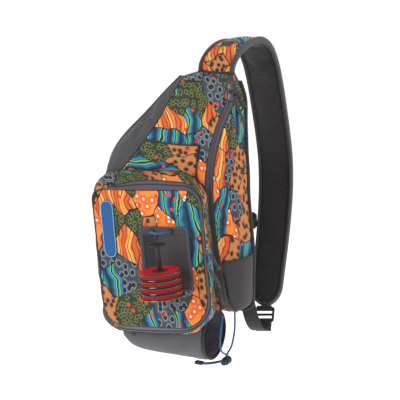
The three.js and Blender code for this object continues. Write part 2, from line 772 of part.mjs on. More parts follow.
// The dock's short cord runs from one eyelet out over the post's top and back to the other
function dockCordGeometry() {
  const lead = dockBorderThickness + layerGap + seamGap;
  const topZ = spoolTop.z + seamGap + dockCordDiameter / 2;
  const row = dockShiftZ + dockHeight / 2 - dockEyeletDrop;
  const eyelet = (side) => faceSurface(dockShiftX - 2 + (side * dockEyeletSpan) / 2, row);
  const clearOf = (side, more) => eyelet(side).add(new V3(0, -lead - more, 0));
  const curve = new THREE.CatmullRomCurve3([
    clearOf(-1, 0), clearOf(-1, 4),
    new V3(spoolTop.x - 6, spoolTop.y + 3, topZ),
    new V3(spoolTop.x, spoolTop.y, topZ),
    new V3(spoolTop.x + 4, spoolTop.y + 4, topZ),
    clearOf(1, 4), clearOf(1, 0),
  ]);
  return cordGeometry(curve, dockCordDiameter, cordSides, 12);
}

// The sleeve is a cloth tube along X, closed and rounded at its left end
function aboutSleeve(geometry) {
  return geometry.rotateY(Math.PI / 2).translate(sleeveMouthX, sleeveAxisY, sleeveAxisZ);
}

function bottleSleeveGeometry() {
  // back: distance from the mouth, share of the length. wide: share of the radius.
  const rows = table(['back', 'wide'], [
    [0, 1], [0.35, 1], [0.7, 1], [0.84, 0.95], [0.93, 0.82], [0.98, 0.62], [1, 0.3],
  ]);
  const outer = rows.map(({ back, wide }) => [wide * sleeveRadius, -back * sleeveLength]);
  const inner = rows.map(({ back, wide }) => [
    wide * (sleeveRadius - sleeveWall), -back * (sleeveLength - sleeveWall),
  ]).reverse();
  const closedEnd = [[0, -sleeveLength], [0, -(sleeveLength - sleeveWall)]];
  return aboutSleeve(turned([...outer, ...closedEnd, ...inner, outer[0]], turnedSides));
}

function sleeveBindingGeometry() {
  const outer = sleeveRadius + sleeveBindingProud - seamGap;
  const inner = sleeveRadius - sleeveWall - sleeveBindingProud;
  return aboutSleeve(turned([
    [inner, seamGap], [outer, seamGap], [outer, seamGap + sleeveBindingWidth],
    [inner, seamGap + sleeveBindingWidth], [inner, seamGap],
  ], turnedSides));
}

function bar(sizeX, sizeY, sizeZ) {
  return new THREE.BoxGeometry(sizeX, sizeY, sizeZ);
}

// The retention cord hangs in a U from the compartment's bottom edge, and both of its ends
// run through the cord lock to a small end grip. Points chosen by hand.
const cordFrontRoute = [
  [104, -63, 97], [104, -64.5, 90], [103.5, -67, 80], [103, -69, 68], [102.5, -69, 56],
  [102, -66.5, 45], [102, -61, 36], [102, -53.5, 31], [102, -47.5, 28], [102, -46, 23.9],
];
const cordBackRoute = [
  [104, -22, 97], [104, -21, 90], [103.5, -19, 80], [103, -18, 68], [102.5, -18.5, 56],
  [102, -21.5, 45], [102, -27, 36], [102, -34.5, 31], [102, -40.5, 28], [102, -42, 23.9],
];
const tailFrontRoute = [
  [95.3, -46.5, 15.5], [90, -48.5, 13.5], [84, -51.5, 12], [78, -54, 11], [72, -55.2, 10], [66, -55.5, 9.3],
];
const tailBackRoute = [
  [95.3, -41.8, 15.5], [90, -41.5, 13], [84, -43, 11.2], [78, -46, 10], [72, -49.3, 9.4], [66, -51.7, 9.2],
];

function routeCurve(points) {
  return new THREE.CatmullRomCurve3(points.map(([x, y, z]) => new V3(x, y, z)));
}

function retentionCord(points) {
  const steps = Math.round(1.5 * points.length);
  return cordGeometry(routeCurve(points), cordDiameter, cordSides, steps);
}

function cordLockGeometry() {
  const half = cordLockDiameter / 2;
  return turned([
    [0, 0], [half * 0.8, 0], [half, 1.5], [half, cordLockLength * 0.62],
    [half * 0.75, cordLockLength * 0.66],
    [half * 0.75, cordLockLength], [0, cordLockLength],
  ], 12);
}

// The strap's middle line from the yoke over its arch to its lower end. aside: from the strap's
// centre, share of the half width. back: share of the strap's reach. up: share of its drop.
const strapRoot = new V3(strapCentreX, -6, bodyBottom + bodyHeight + yokeHeight + seamGap);
const strapPlaces = table(['aside', 'back', 'up'], [
  [0, -0.0363, 0], [0, -0.0375, 0.0124], [0, -0.0211, 0.0282], [0, 0.0302, 0.0492],
  [0, 0.1329, 0.0729], [0, 0.29, 0.0913], [0, 0.4532, 0.0958], [0.0079, 0.6103, 0.0861],
  [0.0197, 0.7553, 0.0518], [0.0354, 0.864, -0.0153], [0.0591, 0.9305, -0.1021], [0.0945, 0.9728, -0.2126],
  [0.1339, 1, -0.3258], [0.1772, 0.997, -0.4389], [0.2205, 0.9426, -0.5495], [0.2677, 0.8399, -0.6547],
  [0.3189, 0.7009, -0.7626], [0.3661, 0.5559, -0.86], [0.4094, 0.429, -0.9416], [0.4409, 0.3444, -0.9995],
]);
const strapCurve = new THREE.CatmullRomCurve3(strapPlaces.map(({ aside, back, up }) => new V3(
  strapCentreX + aside * halfWidth, back * strapReach, strapRoot.z + up * strapDrop,
)), false, 'centripetal');
const strapLength = strapCurve.getLength();
strapCurve.arcLengthDivisions = 400;

// at: share of the strap's length. wide: share of the named width. roll: degrees that the
// right edge stands above the left.
const strapSections = table(['at', 'wide', 'roll'], [
  [0, 0.97, 0], [0.08, 0.98, 4], [0.2, 1, 7], [0.35, 1, 3], [0.6, 0.98, 0], [0.8, 0.92, 0], [1, 0.86, 0],
]);

// A point on the strap: w across from its middle, n outward from its middle layer
function strapPoint(share, w, n) {
  const p = strapCurve.getPointAt(share);
  const t = strapCurve.getTangentAt(share);
  const outward = new V3(1, 0, 0).cross(t).normalize();
  const across = t.clone().cross(outward).normalize();
  const roll = THREE.MathUtils.degToRad(along(strapSections, 'roll', share));
  across.applyAxisAngle(t, across.x > 0 ? -roll : roll);
  const up = across.clone().cross(t).normalize();
  const side = across.x > 0 ? 1 : -1;
  const lift = up.dot(outward) > 0 ? 1 : -1;
  return p.addScaledVector(across, side * w).addScaledVector(up, lift * n);
}

// Half the strap's width at a distance from its root, rounded at its end
function strapHalf(distance, inset) {
  const full = (along(strapSections, 'wide', distance / strapLength) * strapWidth) / 2 - inset;
  const left = strapLength - inset - distance;
  const endLength = strapEndLength - inset;
  if (left >= endLength) return full;
  const t = 1 - Math.max(0, left) / endLength;
  return full * Math.sqrt(Math.max(0, 1 - t * t));
}

function strapLayer(low, high, crown) {
  const inset = bindingWidth + seamGap;
  const rings = [];
  const steps = 31;
  const end = strapLength - inset - 1.5;
  for (let i = 0; i <= steps; i += 1) {
    const straight = end - strapEndLength;
    const distance = i < steps - 5 ? (straight * i) / (steps - 5)
      : straight + strapEndLength * Math.sin((Math.PI / 2) * ((i - steps + 5) / 5));
    const w = strapHalf(distance, inset);
    const share = distance / strapLength;
    const far = high + crown;
    rings.push([
      strapPoint(share, -w, low), strapPoint(share, w, low), strapPoint(share, w, high),
      strapPoint(share, w * 0.5, far), strapPoint(share, -w * 0.5, far), strapPoint(share, -w, high),
    ]);
  }
  return solidFromRings(rings);
}

// The binding runs down the left edge, round the end and up the right edge
function strapBindingGeometry() {
  const rings = [];
  const sideSteps = 27;
  const endSteps = 12;
  const straight = strapLength - strapEndLength;
  const half = bindingThickness / 2;
  const place = [];
  for (let i = 0; i <= sideSteps; i += 1) place.push({ distance: (straight * i) / sideSteps, side: -1 });
  for (let i = 1; i < endSteps; i += 1) place.push({ turn: (Math.PI * i) / endSteps });
  for (let i = sideSteps; i >= 0; i -= 1) place.push({ distance: (straight * i) / sideSteps, side: 1 });
  const section = (distance, side) => {
    const share = distance / strapLength;
    const outer = side * strapHalf(distance, 0);
    const inner = side * strapHalf(distance, bindingWidth);
    const edge = outer - side * 1;
    return [
      strapPoint(share, inner, half * 0.92), strapPoint(share, edge, half),
      strapPoint(share, outer, half * 0.5), strapPoint(share, outer, -half * 0.5),
      strapPoint(share, edge, -half), strapPoint(share, inner, -half * 0.92),
    ];
  };
  const endSection = (turn) => {
    const w = -Math.cos(turn);
    const reachOut = Math.sin(turn);
    const widest = strapHalf(straight, 0);
    const point = (inset, n) => {
      const distance = straight + reachOut * (strapEndLength - inset);
      return strapPoint(Math.min(1, distance / strapLength), w * (widest - inset), n);
    };
    return [
      point(bindingWidth, half * 0.92), point(1, half), point(0, half * 0.5),
      point(0, -half * 0.5), point(1, -half), point(bindingWidth, -half * 0.92),
    ];
  };
  place.forEach((spot) => {
    rings.push(spot.turn === undefined ? section(spot.distance, spot.side) : endSection(spot.turn));
  });
  return solidFromRings(rings);
}

// A flat ribbon along a route. across: the direction of its width at each end.
function ribbonGeometry(points, width, thickness, acrossStart, acrossEnd, perSpan) {
  const curve = routeCurve(points);
  const rings = [];
  const steps = perSpan * (points.length - 1);
  for (let i = 0; i <= steps; i += 1) {
    const t = i / steps;
    const p = curve.getPoint(t);
    const tangent = curve.getTangent(t);
    const across = acrossStart.clone().lerp(acrossEnd, THREE.MathUtils.smoothstep(t, 0.5, 1));
    across.addScaledVector(tangent, -across.dot(tangent)).normalize();
    const up = tangent.clone().cross(across).normalize();
    const corner = (w, n) => p.clone().addScaledVector(across, w * width / 2)
      .addScaledVector(up, n * thickness / 2);
    rings.push([corner(-1, -1), corner(1, -1), corner(1, 1), corner(-1, 1)]);
  }
  return solidFromRings(rings);
}

// A flat buckle frame with a slot for each strap, lying in its own XY plane
function buckleGeometry(width, length, thickness, rim, slots) {
  const shape = new THREE.Shape();
  const x = width / 2;
  const y = length / 2;
  const cut = rim * 0.6;
  shape.moveTo(-x + cut, -y);
  shape.lineTo(x - cut, -y);
  shape.lineTo(x, -y + cut);
  shape.lineTo(x, y - cut);
  shape.lineTo(x - cut, y);
  shape.lineTo(-x + cut, y);
  shape.lineTo(-x, y - cut);
  shape.lineTo(-x, -y + cut);
  shape.closePath();
  const slotLength = (length - rim * (slots + 1)) / slots;
  for (let k = 0; k < slots; k += 1) {
    const low = -y + rim + k * (slotLength + rim);
    const hole = new THREE.Path();
    hole.moveTo(-x + rim, low);
    hole.lineTo(-x + rim, low + slotLength);
    hole.lineTo(x - rim, low + slotLength);
    hole.lineTo(x - rim, low);
    hole.closePath();
    shape.holes.push(hole);
  }
  return new THREE.ExtrudeGeometry(shape, { depth: thickness, bevelEnabled: false })
    .translate(0, 0, -thickness / 2);
}

// Slider body: a block with sloping ends. It lies along Y and its top is +Z.
function sliderGeometry() {
  const half = sliderLength / 2;
  const side = new THREE.Shape();
  side.moveTo(-half, 0);
  side.lineTo(half, 0);
  side.lineTo(half, sliderHeight * 0.5);
  side.lineTo(half * 0.7, sliderHeight);
  side.lineTo(-half * 0.6, sliderHeight);
  side.lineTo(-half, sliderHeight * 0.5);
  side.closePath();
  return new THREE.ExtrudeGeometry(side, { depth: sliderWidth, bevelEnabled: false })
    .rotateX(Math.PI / 2).translate(0, sliderWidth / 2, 0).rotateZ(Math.PI / 2);
}

// A frame on a surface: Y up along the zipper, Z out of the cloth
function frameOn(surface, u, v, range, lift, alongU) {
  const step = 1e-3;
  const normal = normalAt(surface, u, v, range);
  const [du, dv] = alongU ? [step, 0] : [0, step];
  const ahead = surface(u + du, v + dv).sub(surface(u - du, v - dv));
  const y = ahead.addScaledVector(normal, -ahead.dot(normal)).normalize();
  const x = y.clone().cross(normal);
  const origin = surface(u, v).addScaledVector(normal, lift);
  return new THREE.Matrix4().makeBasis(x, y, normal).setPosition(origin);
}

function frameAlong(origin, alongY, acrossX) {
  const y = alongY.clone().normalize();
  const z = acrossX.clone().cross(y).normalize();
  const x = y.clone().cross(z);
  return new THREE.Matrix4().makeBasis(x, y, z).setPosition(origin);
}

// The frame of a cord pull that hangs from one point towards another
function pullFrame(from, to, facing) {
  const z = from.clone().sub(to).normalize();
  const x = facing.clone().cross(z).normalize();
  const y = z.clone().cross(x);
  return new THREE.Matrix4().makeBasis(x, y, z).setPosition(from);
}

// An oval wire ring in its own XY plane
function ringGeometry() {
  const rings = [];
  const turns = 20;
  const sides = 6;
  for (let i = 0; i < turns; i += 1) {
    const angle = (2 * Math.PI * i) / turns;
    const squareness = 0.6;
    const flat = (value) => Math.sign(value) * Math.abs(value) ** squareness;
    const middle = new V3(flat(Math.cos(angle)) * (ringWidth - ringWire) / 2,
      flat(Math.sin(angle)) * (ringLength - ringWire) / 2, 0);
    const out = new V3(Math.cos(angle), Math.sin(angle), 0);
    const ring = [];
    for (let k = 0; k < sides; k += 1) {
      const turn = (2 * Math.PI * k) / sides;
      ring.push(middle.clone().addScaledVector(out, (ringWire / 2) * Math.cos(turn))
        .add(new V3(0, 0, (ringWire / 2) * Math.sin(turn))));
    }
    rings.push(ring);
  }
  return solidFromRings(rings, true);
}

// Points of a webbing that turns round a buckle's end bar, in the buckle's own frame.
// side: 1 for the bar at +Y, -1 for the bar at -Y. tail: how far its free end lies back.
// runOut: how far it goes straight on past the buckle, on the +Z face.
function barTurn(side, buckleLength, tail, runOut) {
  const clear = buckleThickness / 2 + bendClearance + webbingThickness / 2;
  const slotEdge = buckleLength / 2 - buckleRim;
  const inside = slotEdge - bendClearance - webbingThickness / 2;
  const outside = buckleLength / 2;
  return [
    [0, side * (outside + tail), -clear], [0, side * (outside + tail * 0.5), -clear],
    [0, side * outside, -clear], [0, side * (inside + 1.6), -clear],
    [0, side * (inside + 0.3), -clear * 0.6], [0, side * inside, 0],
    [0, side * (inside + 0.3), clear * 0.6], [0, side * (inside + 1.6), clear],
    [0, side * outside, clear], [0, side * (outside + runOut), clear],
  ];
}

function inFrame(points, frame) {
  return points.map(([x, y, z]) => new V3(x, y, z).applyMatrix4(frame).toArray());
}

// Cord pull: a doubled cord with a knot, hanging from its top at the origin towards -Z
function pullGeometry(length) {
  // drop: share of the length. wide, deep: half sizes in millimetres
  const rows = table(['drop', 'wide', 'deep'], [
    [0, 1.5, 1.1], [0.04, 2.4, 1.3], [0.78, 2.4, 1.3], [0.8, 3.2, 2.4], [0.9, 3.4, 2.6], [0.93, 2.2, 1.6],
    [1, 2.8, 1.4],
  ]);
  const sides = 8;
  return solidFromRings(rows.map(({ drop, wide, deep }) => {
    const ring = [];
    for (let k = 0; k < sides; k += 1) {
      const angle = (2 * Math.PI * (k + 0.5)) / sides;
      ring.push(new V3(wide * Math.cos(angle), deep * Math.sin(angle), -drop * length));
    }
    return ring;
  }));
}

// Materials, one for each fabric or finish
function cloth(colour, roughness) {
  return new THREE.MeshStandardMaterial({ color: colour, roughness, metalness: 0 });
}

const printedCloth = cloth(0xd8792e, 0.8);
const greyCloth = cloth(0x56535a, 0.85);
const coatedTape = cloth(0x55505a, 0.55);
const brushedPatch = cloth(0x48464c, 0.95);
const airMesh = cloth(0x262224, 0.9);
const bindingTape = cloth(0x46444a, 0.8);
const blueCord = cloth(0x005fa0, 0.6);
const bluePatch = cloth(0x2d7dbe, 0.5);
const greyPull = cloth(0x4a4a4c, 0.7);
const blackPlastic = cloth(0x19191b, 0.45);
const redPlastic = cloth(0xd71e23, 0.35);
const darkMetal = new THREE.MeshStandardMaterial({ color: 0x5a5a5c, roughness: 0.35, metalness: 0.9 });

const bag = new THREE.Group();
bag.position.copy(seat).negate();

function piece(name, geometry, material, parent = bag) {
  const mesh = new THREE.Mesh(geometry, material);
  mesh.name = name;
  parent.add(mesh);
  return mesh;
}

// Main compartment
const heightSteps = 16;
piece('back_panel', backPanelGeometry(), airMesh);
piece('right_gusset', bodyPanel(BACK_RIGHT, ZIP_RIGHT, 4, heightSteps), printedCloth);
piece('main_zipper', bodyPanel(ZIP_RIGHT, ZIP_LEFT, 2, heightSteps), coatedTape);
piece('front_panel', bodyPanel(ZIP_LEFT, WING_SEAM, 6, heightSteps), printedCloth);
piece('left_wing', bodyPanel(WING_SEAM, BACK_LEFT, 4, heightSteps), greyCloth);
piece('body_floor', bodyFloorGeometry(), greyCloth);
piece('top_yoke', topYokeGeometry(), printedCloth);
piece('stash_panel', stashPanelGeometry(), printedCloth);
piece('hook_patch', hookPatchGeometry(), brushedPatch);

// Front box pocket
piece('pocket_face', pocketFaceGeometry(), printedCloth);
piece('pocket_left_gusset', pocketWallGeometry(bandEnd - 4, bandStart, 14, false), greyCloth);
piece('pocket_top_gusset', pocketWallGeometry(bandStart, TOP_RIGHT, topSteps, true), printedCloth);
piece('pocket_right_gusset', pocketWallGeometry(TOP_RIGHT, BOTTOM_RIGHT, sideSteps, true), printedCloth);
piece('pocket_bottom_gusset', pocketWallGeometry(BOTTOM_RIGHT, bandEnd, topSteps, true), printedCloth);
piece('pocket_zip_band', zipBandGeometry(), coatedTape);
piece('label_patch', labelPatchGeometry(), bluePatch);
piece('dock_patch', dockPatchGeometry(), greyCloth);
piece('dock_cord', dockCordGeometry(), blueCord);

// Spool stack
bag.add(spoolFrame);
piece('spool_post', spoolPostGeometry(), blackPlastic, spoolFrame);
for (let k = 0; k < spoolCount; k += 1) {
  const spool = piece(`spool_${k + 1}`, spoolGeometry(), redPlastic, spoolFrame);
  spool.position.z = (k + 0.5) * spoolPitch;
}

// Bottle sleeve and its retention cord
piece('bottle_sleeve', bottleSleeveGeometry(), greyCloth);
piece('sleeve_binding', sleeveBindingGeometry(), bindingTape);
piece('retention_cord_front', retentionCord(cordFrontRoute), blueCord);
piece('retention_cord_back', retentionCord(cordBackRoute), blueCord);
piece('retention_tail_front', retentionCord(tailFrontRoute), blueCord);
piece('retention_tail_back', retentionCord(tailBackRoute), blueCord);
const lock = piece('cord_lock', cordLockGeometry(), blackPlastic);
lock.position.set(102, -38, 17);
lock.rotation.x = Math.PI / 2;
const grip = piece('cord_end', bar(gripLength, gripWidth, gripThickness), blackPlastic);
const [tailX, tailY, tailZ] = tailFrontRoute[tailFrontRoute.length - 1];
grip.position.set(tailX - 2 * seamGap - gripLength / 2, tailY + 2, tailZ);

// Shoulder strap
piece('strap_cover', strapLayer(seamGap / 2, strapThickness / 2 - strapCrown, strapCrown), printedCloth);
piece('strap_mesh', strapLayer(-seamGap / 2, -strapThickness / 2 + strapCrown, -strapCrown), airMesh);
piece('strap_binding', strapBindingGeometry(), bindingTape);

// Zipper sliders with their cord pulls
function zipper(name, frame, eyePlace, pullLength, towards) {
  piece(`${name}_slider`, sliderGeometry().applyMatrix4(frame), darkMetal);
  const eye = eyePlace.clone().applyMatrix4(frame);
  const facing = new V3().setFromMatrixColumn(frame, 2);
  piece(`${name}_pull`, pullGeometry(pullLength).applyMatrix4(pullFrame(eye, towards, facing)), greyPull);
}

const sliderLift = seamGap + 0.3;
const besideSlider = new V3(sliderWidth / 2 + 2.2, 0, sliderHeight);
const overSlider = new V3(0, 3, sliderHeight + 2);
const pullStandOff = 9;
const mainSliderPlaces = [0.985, 0.945];
const mainPullEnds = [[0.22, 0.876], [0.34, 0.83]];
mainSliderPlaces.forEach((v, k) => {
  const frame = frameOn(bodySkin, 1.5, v, bodyRange, sliderLift, false);
  const [u, down] = mainPullEnds[k];
  const rest = bodySkin(u, down).addScaledVector(normalAt(bodySkin, u, down, bodyRange), pullStandOff);
  zipper(['main_upper', 'main_lower'][k], frame, besideSlider, mainPullLengths[k], rest);
});

const pocketSliderPlaces = [2.5, 2.585];
const pocketPullDrops = [[17, 20, -38], [13, 22, -42]];
pocketSliderPlaces.forEach((u, k) => {
  const share = along(bandShares, 'share', u) / 2;
  const frame = frameOn(pocketSide, u, share, pocketRange, sliderLift, true);
  const eye = new V3().setFromMatrixPosition(frame);
  const towards = eye.clone().add(new V3(...pocketPullDrops[k]));
  zipper(['pocket_upper', 'pocket_lower'][k], frame, overSlider, pocketPullLengths[k], towards);
});

// Ring on the front of the strap's arch, and the webbing tab that is folded over it
const strapTop = strapThickness / 2;
const ringHeight = strapTop + layerGap + ringWire / 2;
const ringMiddle = strapPoint(ringPlace, 0, ringHeight);
const ringAhead = strapPoint(ringPlace + 0.005, 0, ringHeight).sub(ringMiddle);
const ringAcross = strapPoint(ringPlace, 1, ringHeight).sub(ringMiddle);
piece('strap_ring', ringGeometry().applyMatrix4(frameAlong(ringMiddle, ringAhead, ringAcross)), darkMetal);
const tabSteps = table(['back', 'height'], [
  [16, 0], [12, 0], [ringLength / 2 + 2.2, 0.3], [ringLength / 2 - 0.2, 1], [ringLength / 2 - 3, 1],
]);
const tabRise = ringWire + seamGap;
const tabRoute = tabSteps.map(({ back, height }) => strapPoint(ringPlace - back / strapLength, 0,
  strapTop + layerGap + webbingThickness / 2 + height * tabRise).toArray());
piece('ring_tab', ribbonGeometry(tabRoute, ringWidth - 9, webbingThickness, ringAcross, ringAcross, 3),
  greyCloth);

// Webbing from the strap's lower end, through a buckle, to the corner of the padded back
const strapEnd = strapPoint(1, 0, 0);
const strapEndAlong = strapPoint(0.99, 0, 0).sub(strapEnd).normalize();
const strapEndAcross = strapPoint(1, 1, 0).sub(strapEnd);
const lowerReach = lowerBuckleLength / 2 + 2 + 2 * seamGap;
const lowerFrame = frameAlong(strapEnd.clone().addScaledVector(strapEndAlong, -lowerReach), strapEndAlong,
  strapEndAcross);
piece('lower_buckle', buckleGeometry(lowerWebbingWidth + 2 * buckleRim + 1.5, lowerBuckleLength,
  buckleThickness, buckleRim, 2).applyMatrix4(lowerFrame), blackPlastic);
piece('lower_tab', ribbonGeometry(inFrame(barTurn(1, lowerBuckleLength, 2, 2), lowerFrame), lowerWebbingWidth,
  webbingThickness, strapEndAcross, strapEndAcross, 2), bindingTape);
const backFaceRest = seamGap + webbingThickness / 2;

// Points of a webbing behind the bag. across: share of the half width. out: share of the
// strap's reach, never nearer than where the webbing lies on the back. up: share of the height.
function behindBack(rows) {
  return table(['across', 'out', 'up'], rows).map(({ across, out, up }) => [
    across * halfWidth, Math.max(backFaceRest, out * strapReach), bodyBottom + up * bodyHeight,
  ]);
}

const lowerRoute = [
  ...inFrame(barTurn(-1, lowerBuckleLength, 14, 4), lowerFrame),
  ...behindBack([
    [0.989, 0.181, -0.144], [0.982, 0.109, -0.13], [0.965, 0.048, -0.095], [0.94, 0.017, -0.046],
    [0.914, 0, 0], [0.894, 0, 0.04], [0.874, 0, 0.08],
  ]),
];
piece('lower_webbing', ribbonGeometry(lowerRoute, lowerWebbingWidth, webbingThickness, strapEndAcross,
  new V3(1, 0, 0), 2), bindingTape);

// Webbing that steadies the strap: from the far edge of the back to the strap's inner edge
const stabilizerPlace = 0.755;
const stabilizerSide = strapHalf(stabilizerPlace * strapLength, 0) + seamGap;
const stabilizerEdge = strapPoint(stabilizerPlace, -stabilizerSide, 0);
const towardsStrap = new V3(0.86, 0.5, 0.05).normalize();
const stabilizerAcross = new V3(0, 0, 1);
const stabilizerReach = stabilizerBuckleLength / 2 + 3 + 2 * seamGap;
const stabilizerFrame = frameAlong(stabilizerEdge.clone().addScaledVector(towardsStrap, -stabilizerReach),
  towardsStrap, stabilizerAcross);
piece('stabilizer_buckle', buckleGeometry(stabilizerWidth + 2 * buckleRim + 1, stabilizerBuckleLength,
  buckleThickness, buckleRim, 2).applyMatrix4(stabilizerFrame), blackPlastic);
piece('stabilizer_tab', ribbonGeometry(inFrame(barTurn(1, stabilizerBuckleLength, 2, 2), stabilizerFrame),
  stabilizerWidth, webbingThickness, stabilizerAcross, stabilizerAcross, 2), bindingTape);
const stabilizerRoute = [
  ...inFrame(barTurn(-1, stabilizerBuckleLength, 14, 6), stabilizerFrame),
  ...behindBack([
    [0.22, 0.686, 0.277], [-0.063, 0.508, 0.278], [-0.362, 0.29, 0.279], [-0.614, 0.121, 0.284],
    [-0.756, 0.03, 0.292], [-0.819, 0, 0.293], [-0.866, 0, 0.293], [-0.929, 0, 0.293],
  ]),
];
piece('stabilizer_webbing', ribbonGeometry(stabilizerRoute, stabilizerWidth, webbingThickness,
  stabilizerAcross, stabilizerAcross, 2), greyCloth);

// Small tab sewn to the front of the sleeve near its closed end
const sleeveTab = piece('sleeve_tab', bar(sleeveTabWidth, webbingThickness, sleeveTabHeight), blackPlastic);
const sleeveTabPlace = 0.8;
sleeveTab.position.set(sleeveMouthX - sleeveTabPlace * sleeveLength,
  sleeveAxisY - sleeveRadius * 0.97 - webbingThickness / 2 - seamGap, sleeveAxisZ - 4);

export default bag;
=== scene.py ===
# %% [markdown]
# A fishing tackle sling bag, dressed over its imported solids. A tapered compartment carries a
# zipped box pocket with a spool stack, a round sleeve hangs under it, and one wide padded
# strap goes over the shoulder. The hard frame comes first, because every piece of cloth,
# cord and webbing has to lie where those solids are.

# %% Load the frame
import math

import bpy
from mathutils import Matrix, Vector, noise
from mathutils.bvhtree import BVHTree


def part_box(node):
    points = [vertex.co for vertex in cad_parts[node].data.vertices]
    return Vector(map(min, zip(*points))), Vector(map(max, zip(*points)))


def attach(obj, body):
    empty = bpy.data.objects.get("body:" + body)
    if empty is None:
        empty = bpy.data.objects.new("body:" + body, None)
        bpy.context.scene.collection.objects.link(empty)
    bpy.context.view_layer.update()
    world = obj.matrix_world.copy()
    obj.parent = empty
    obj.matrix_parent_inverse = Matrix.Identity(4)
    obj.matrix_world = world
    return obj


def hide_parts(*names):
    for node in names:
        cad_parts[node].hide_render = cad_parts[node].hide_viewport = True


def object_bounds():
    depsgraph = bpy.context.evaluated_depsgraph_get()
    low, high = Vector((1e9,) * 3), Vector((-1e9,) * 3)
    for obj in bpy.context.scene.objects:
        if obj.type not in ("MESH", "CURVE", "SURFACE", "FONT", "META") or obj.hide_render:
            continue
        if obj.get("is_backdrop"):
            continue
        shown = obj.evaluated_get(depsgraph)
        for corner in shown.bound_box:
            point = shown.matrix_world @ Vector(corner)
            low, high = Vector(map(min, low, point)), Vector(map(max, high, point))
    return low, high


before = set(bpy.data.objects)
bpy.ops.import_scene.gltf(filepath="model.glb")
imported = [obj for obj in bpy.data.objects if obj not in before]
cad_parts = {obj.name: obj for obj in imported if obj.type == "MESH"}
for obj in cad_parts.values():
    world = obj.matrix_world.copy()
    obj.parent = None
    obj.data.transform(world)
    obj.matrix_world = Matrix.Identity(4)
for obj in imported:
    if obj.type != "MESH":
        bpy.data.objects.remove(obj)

scene = bpy.context.scene
solid_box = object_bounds()
print("solids' box, metres:", solid_box)

# %% [markdown]
# The bag is drawn in millimetres from the middle of its own back, and the frame counts in
# metres from the place where the bag hangs. One small function turns the first into the
# second, so that each later cell can use a maker's plain numbers.

# %% Bag millimetres to frame metres
HANGING_POINT = Vector((64.0, 75.0, 489.6))


def place(x, y, z):
    return (Vector((x, y, z)) - HANGING_POINT) / 1000


BAG = "bag"
print("the hanging point is", tuple(HANGING_POINT), "mm from the middle of the back")

# %% [markdown]
# The bag is seen a little from its zipper side and from slightly above. A long lens from
# far away keeps the edges almost parallel, as a product shot does. The lamps are large and
# soft, one for the front, one for the side, one behind for the strap.

# %% Camera, lamps and floor
VIEW_TARGET = Vector((-0.031, -0.075, -0.2346))
VIEW_DIRECTION = Vector((0.4405, -0.8645, 0.2419))
VIEW_DISTANCE = 2.4

camera_data = bpy.data.cameras.new("camera")
camera_data.lens = 139
camera_data.sensor_width = 36
camera = bpy.data.objects.new("camera", camera_data)
scene.collection.objects.link(camera)
camera.location = VIEW_TARGET + VIEW_DIRECTION * VIEW_DISTANCE
camera.rotation_euler = (VIEW_TARGET - camera.location).to_track_quat("-Z", "Y").to_euler()
scene.camera = camera


def add_lamp(name, location, size, power):
    data = bpy.data.lights.new(name, "AREA")
    data.shape = "DISK"
    data.size = size
    data.energy = power
    lamp = bpy.data.objects.new(name, data)
    scene.collection.objects.link(lamp)
    lamp.location = location
    lamp.rotation_euler = (VIEW_TARGET - Vector(location)).to_track_quat("-Z", "Y").to_euler()


add_lamp("front lamp", (-1.1, -2.0, 1.1), 1.3, 28)
add_lamp("side lamp", (2.0, -0.9, 0.7), 1.1, 13)
add_lamp("back lamp", (0.8, 1.8, 1.3), 1.2, 20)
scene.view_settings.view_transform = "Standard"

world = bpy.data.worlds.new("studio")
scene.world = world
world.use_nodes = True
world.node_tree.nodes["Background"].inputs["Color"].default_value = (1, 1, 1, 1)
world.node_tree.nodes["Background"].inputs["Strength"].default_value = 0.62

bpy.ops.object.select_all(action="DESELECT")
bpy.ops.mesh.primitive_plane_add(size=80, location=(0, 0, -0.95))
floor = bpy.context.object
floor.name = "studio_floor"
paper = bpy.data.materials.new("studio paper")
paper.use_nodes = True
paper.node_tree.nodes["Principled BSDF"].inputs["Base Color"].default_value = (0.93, 0.93, 0.93, 1)
paper.node_tree.nodes["Principled BSDF"].inputs["Roughness"].default_value = 0.9
paper.node_tree.nodes["Principled BSDF"].inputs["Emission Color"].default_value = (1, 1, 1, 1)
paper.node_tree.nodes["Principled BSDF"].inputs["Emission Strength"].default_value = 0.42
floor.data.materials.append(paper)
floor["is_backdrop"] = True
print("camera stands at", [round(c, 3) for c in camera.location])

# %% [markdown]
# Every finish here is made of nodes. A few helpers keep the recipes short: one starts a
# material, one adds a texture on the object's own coordinates, and others mix colours,
# pick them from a ramp or do sums.

# %% Helpers for finishes
def tint(red, green, blue):
    """A colour picked on a screen, as light."""
    def light(c):
        c = c / 255
        return c / 12.92 if c <= 0.04045 else ((c + 0.055) / 1.055) ** 2.4
    return (light(red), light(green), light(blue), 1)


def start_finish(name, roughness, sheen=0.0, coat=0.0):
    material = bpy.data.materials.new(name)
    material.use_nodes = True
    tree = material.node_tree
    shader = tree.nodes["Principled BSDF"]
    shader.inputs["Roughness"].default_value = roughness
    shader.inputs["Sheen Weight"].default_value = sheen
    shader.inputs["Sheen Roughness"].default_value = 0.5
    shader.inputs["Coat Weight"].default_value = coat
    return material, tree, shader


def add_node(tree, kind, settings=None, **values):
    node = tree.nodes.new(kind)
    for key, value in (settings or {}).items():
        setattr(node, key, value)
    for key, value in values.items():
        socket = node.inputs[key.replace("_", " ")]
        if hasattr(value, "is_output"):
            tree.links.new(value, socket)
        else:
            socket.default_value = value
    return node


def own_coordinates(tree, turn=(0, 0, 0), stretch=(1, 1, 1)):
    coords = add_node(tree, "ShaderNodeTexCoord")
    mapping = add_node(tree, "ShaderNodeMapping", Vector=coords.outputs["Object"])
    mapping.inputs["Rotation"].default_value = turn
    mapping.inputs["Scale"].default_value = stretch
    return mapping.outputs["Vector"]


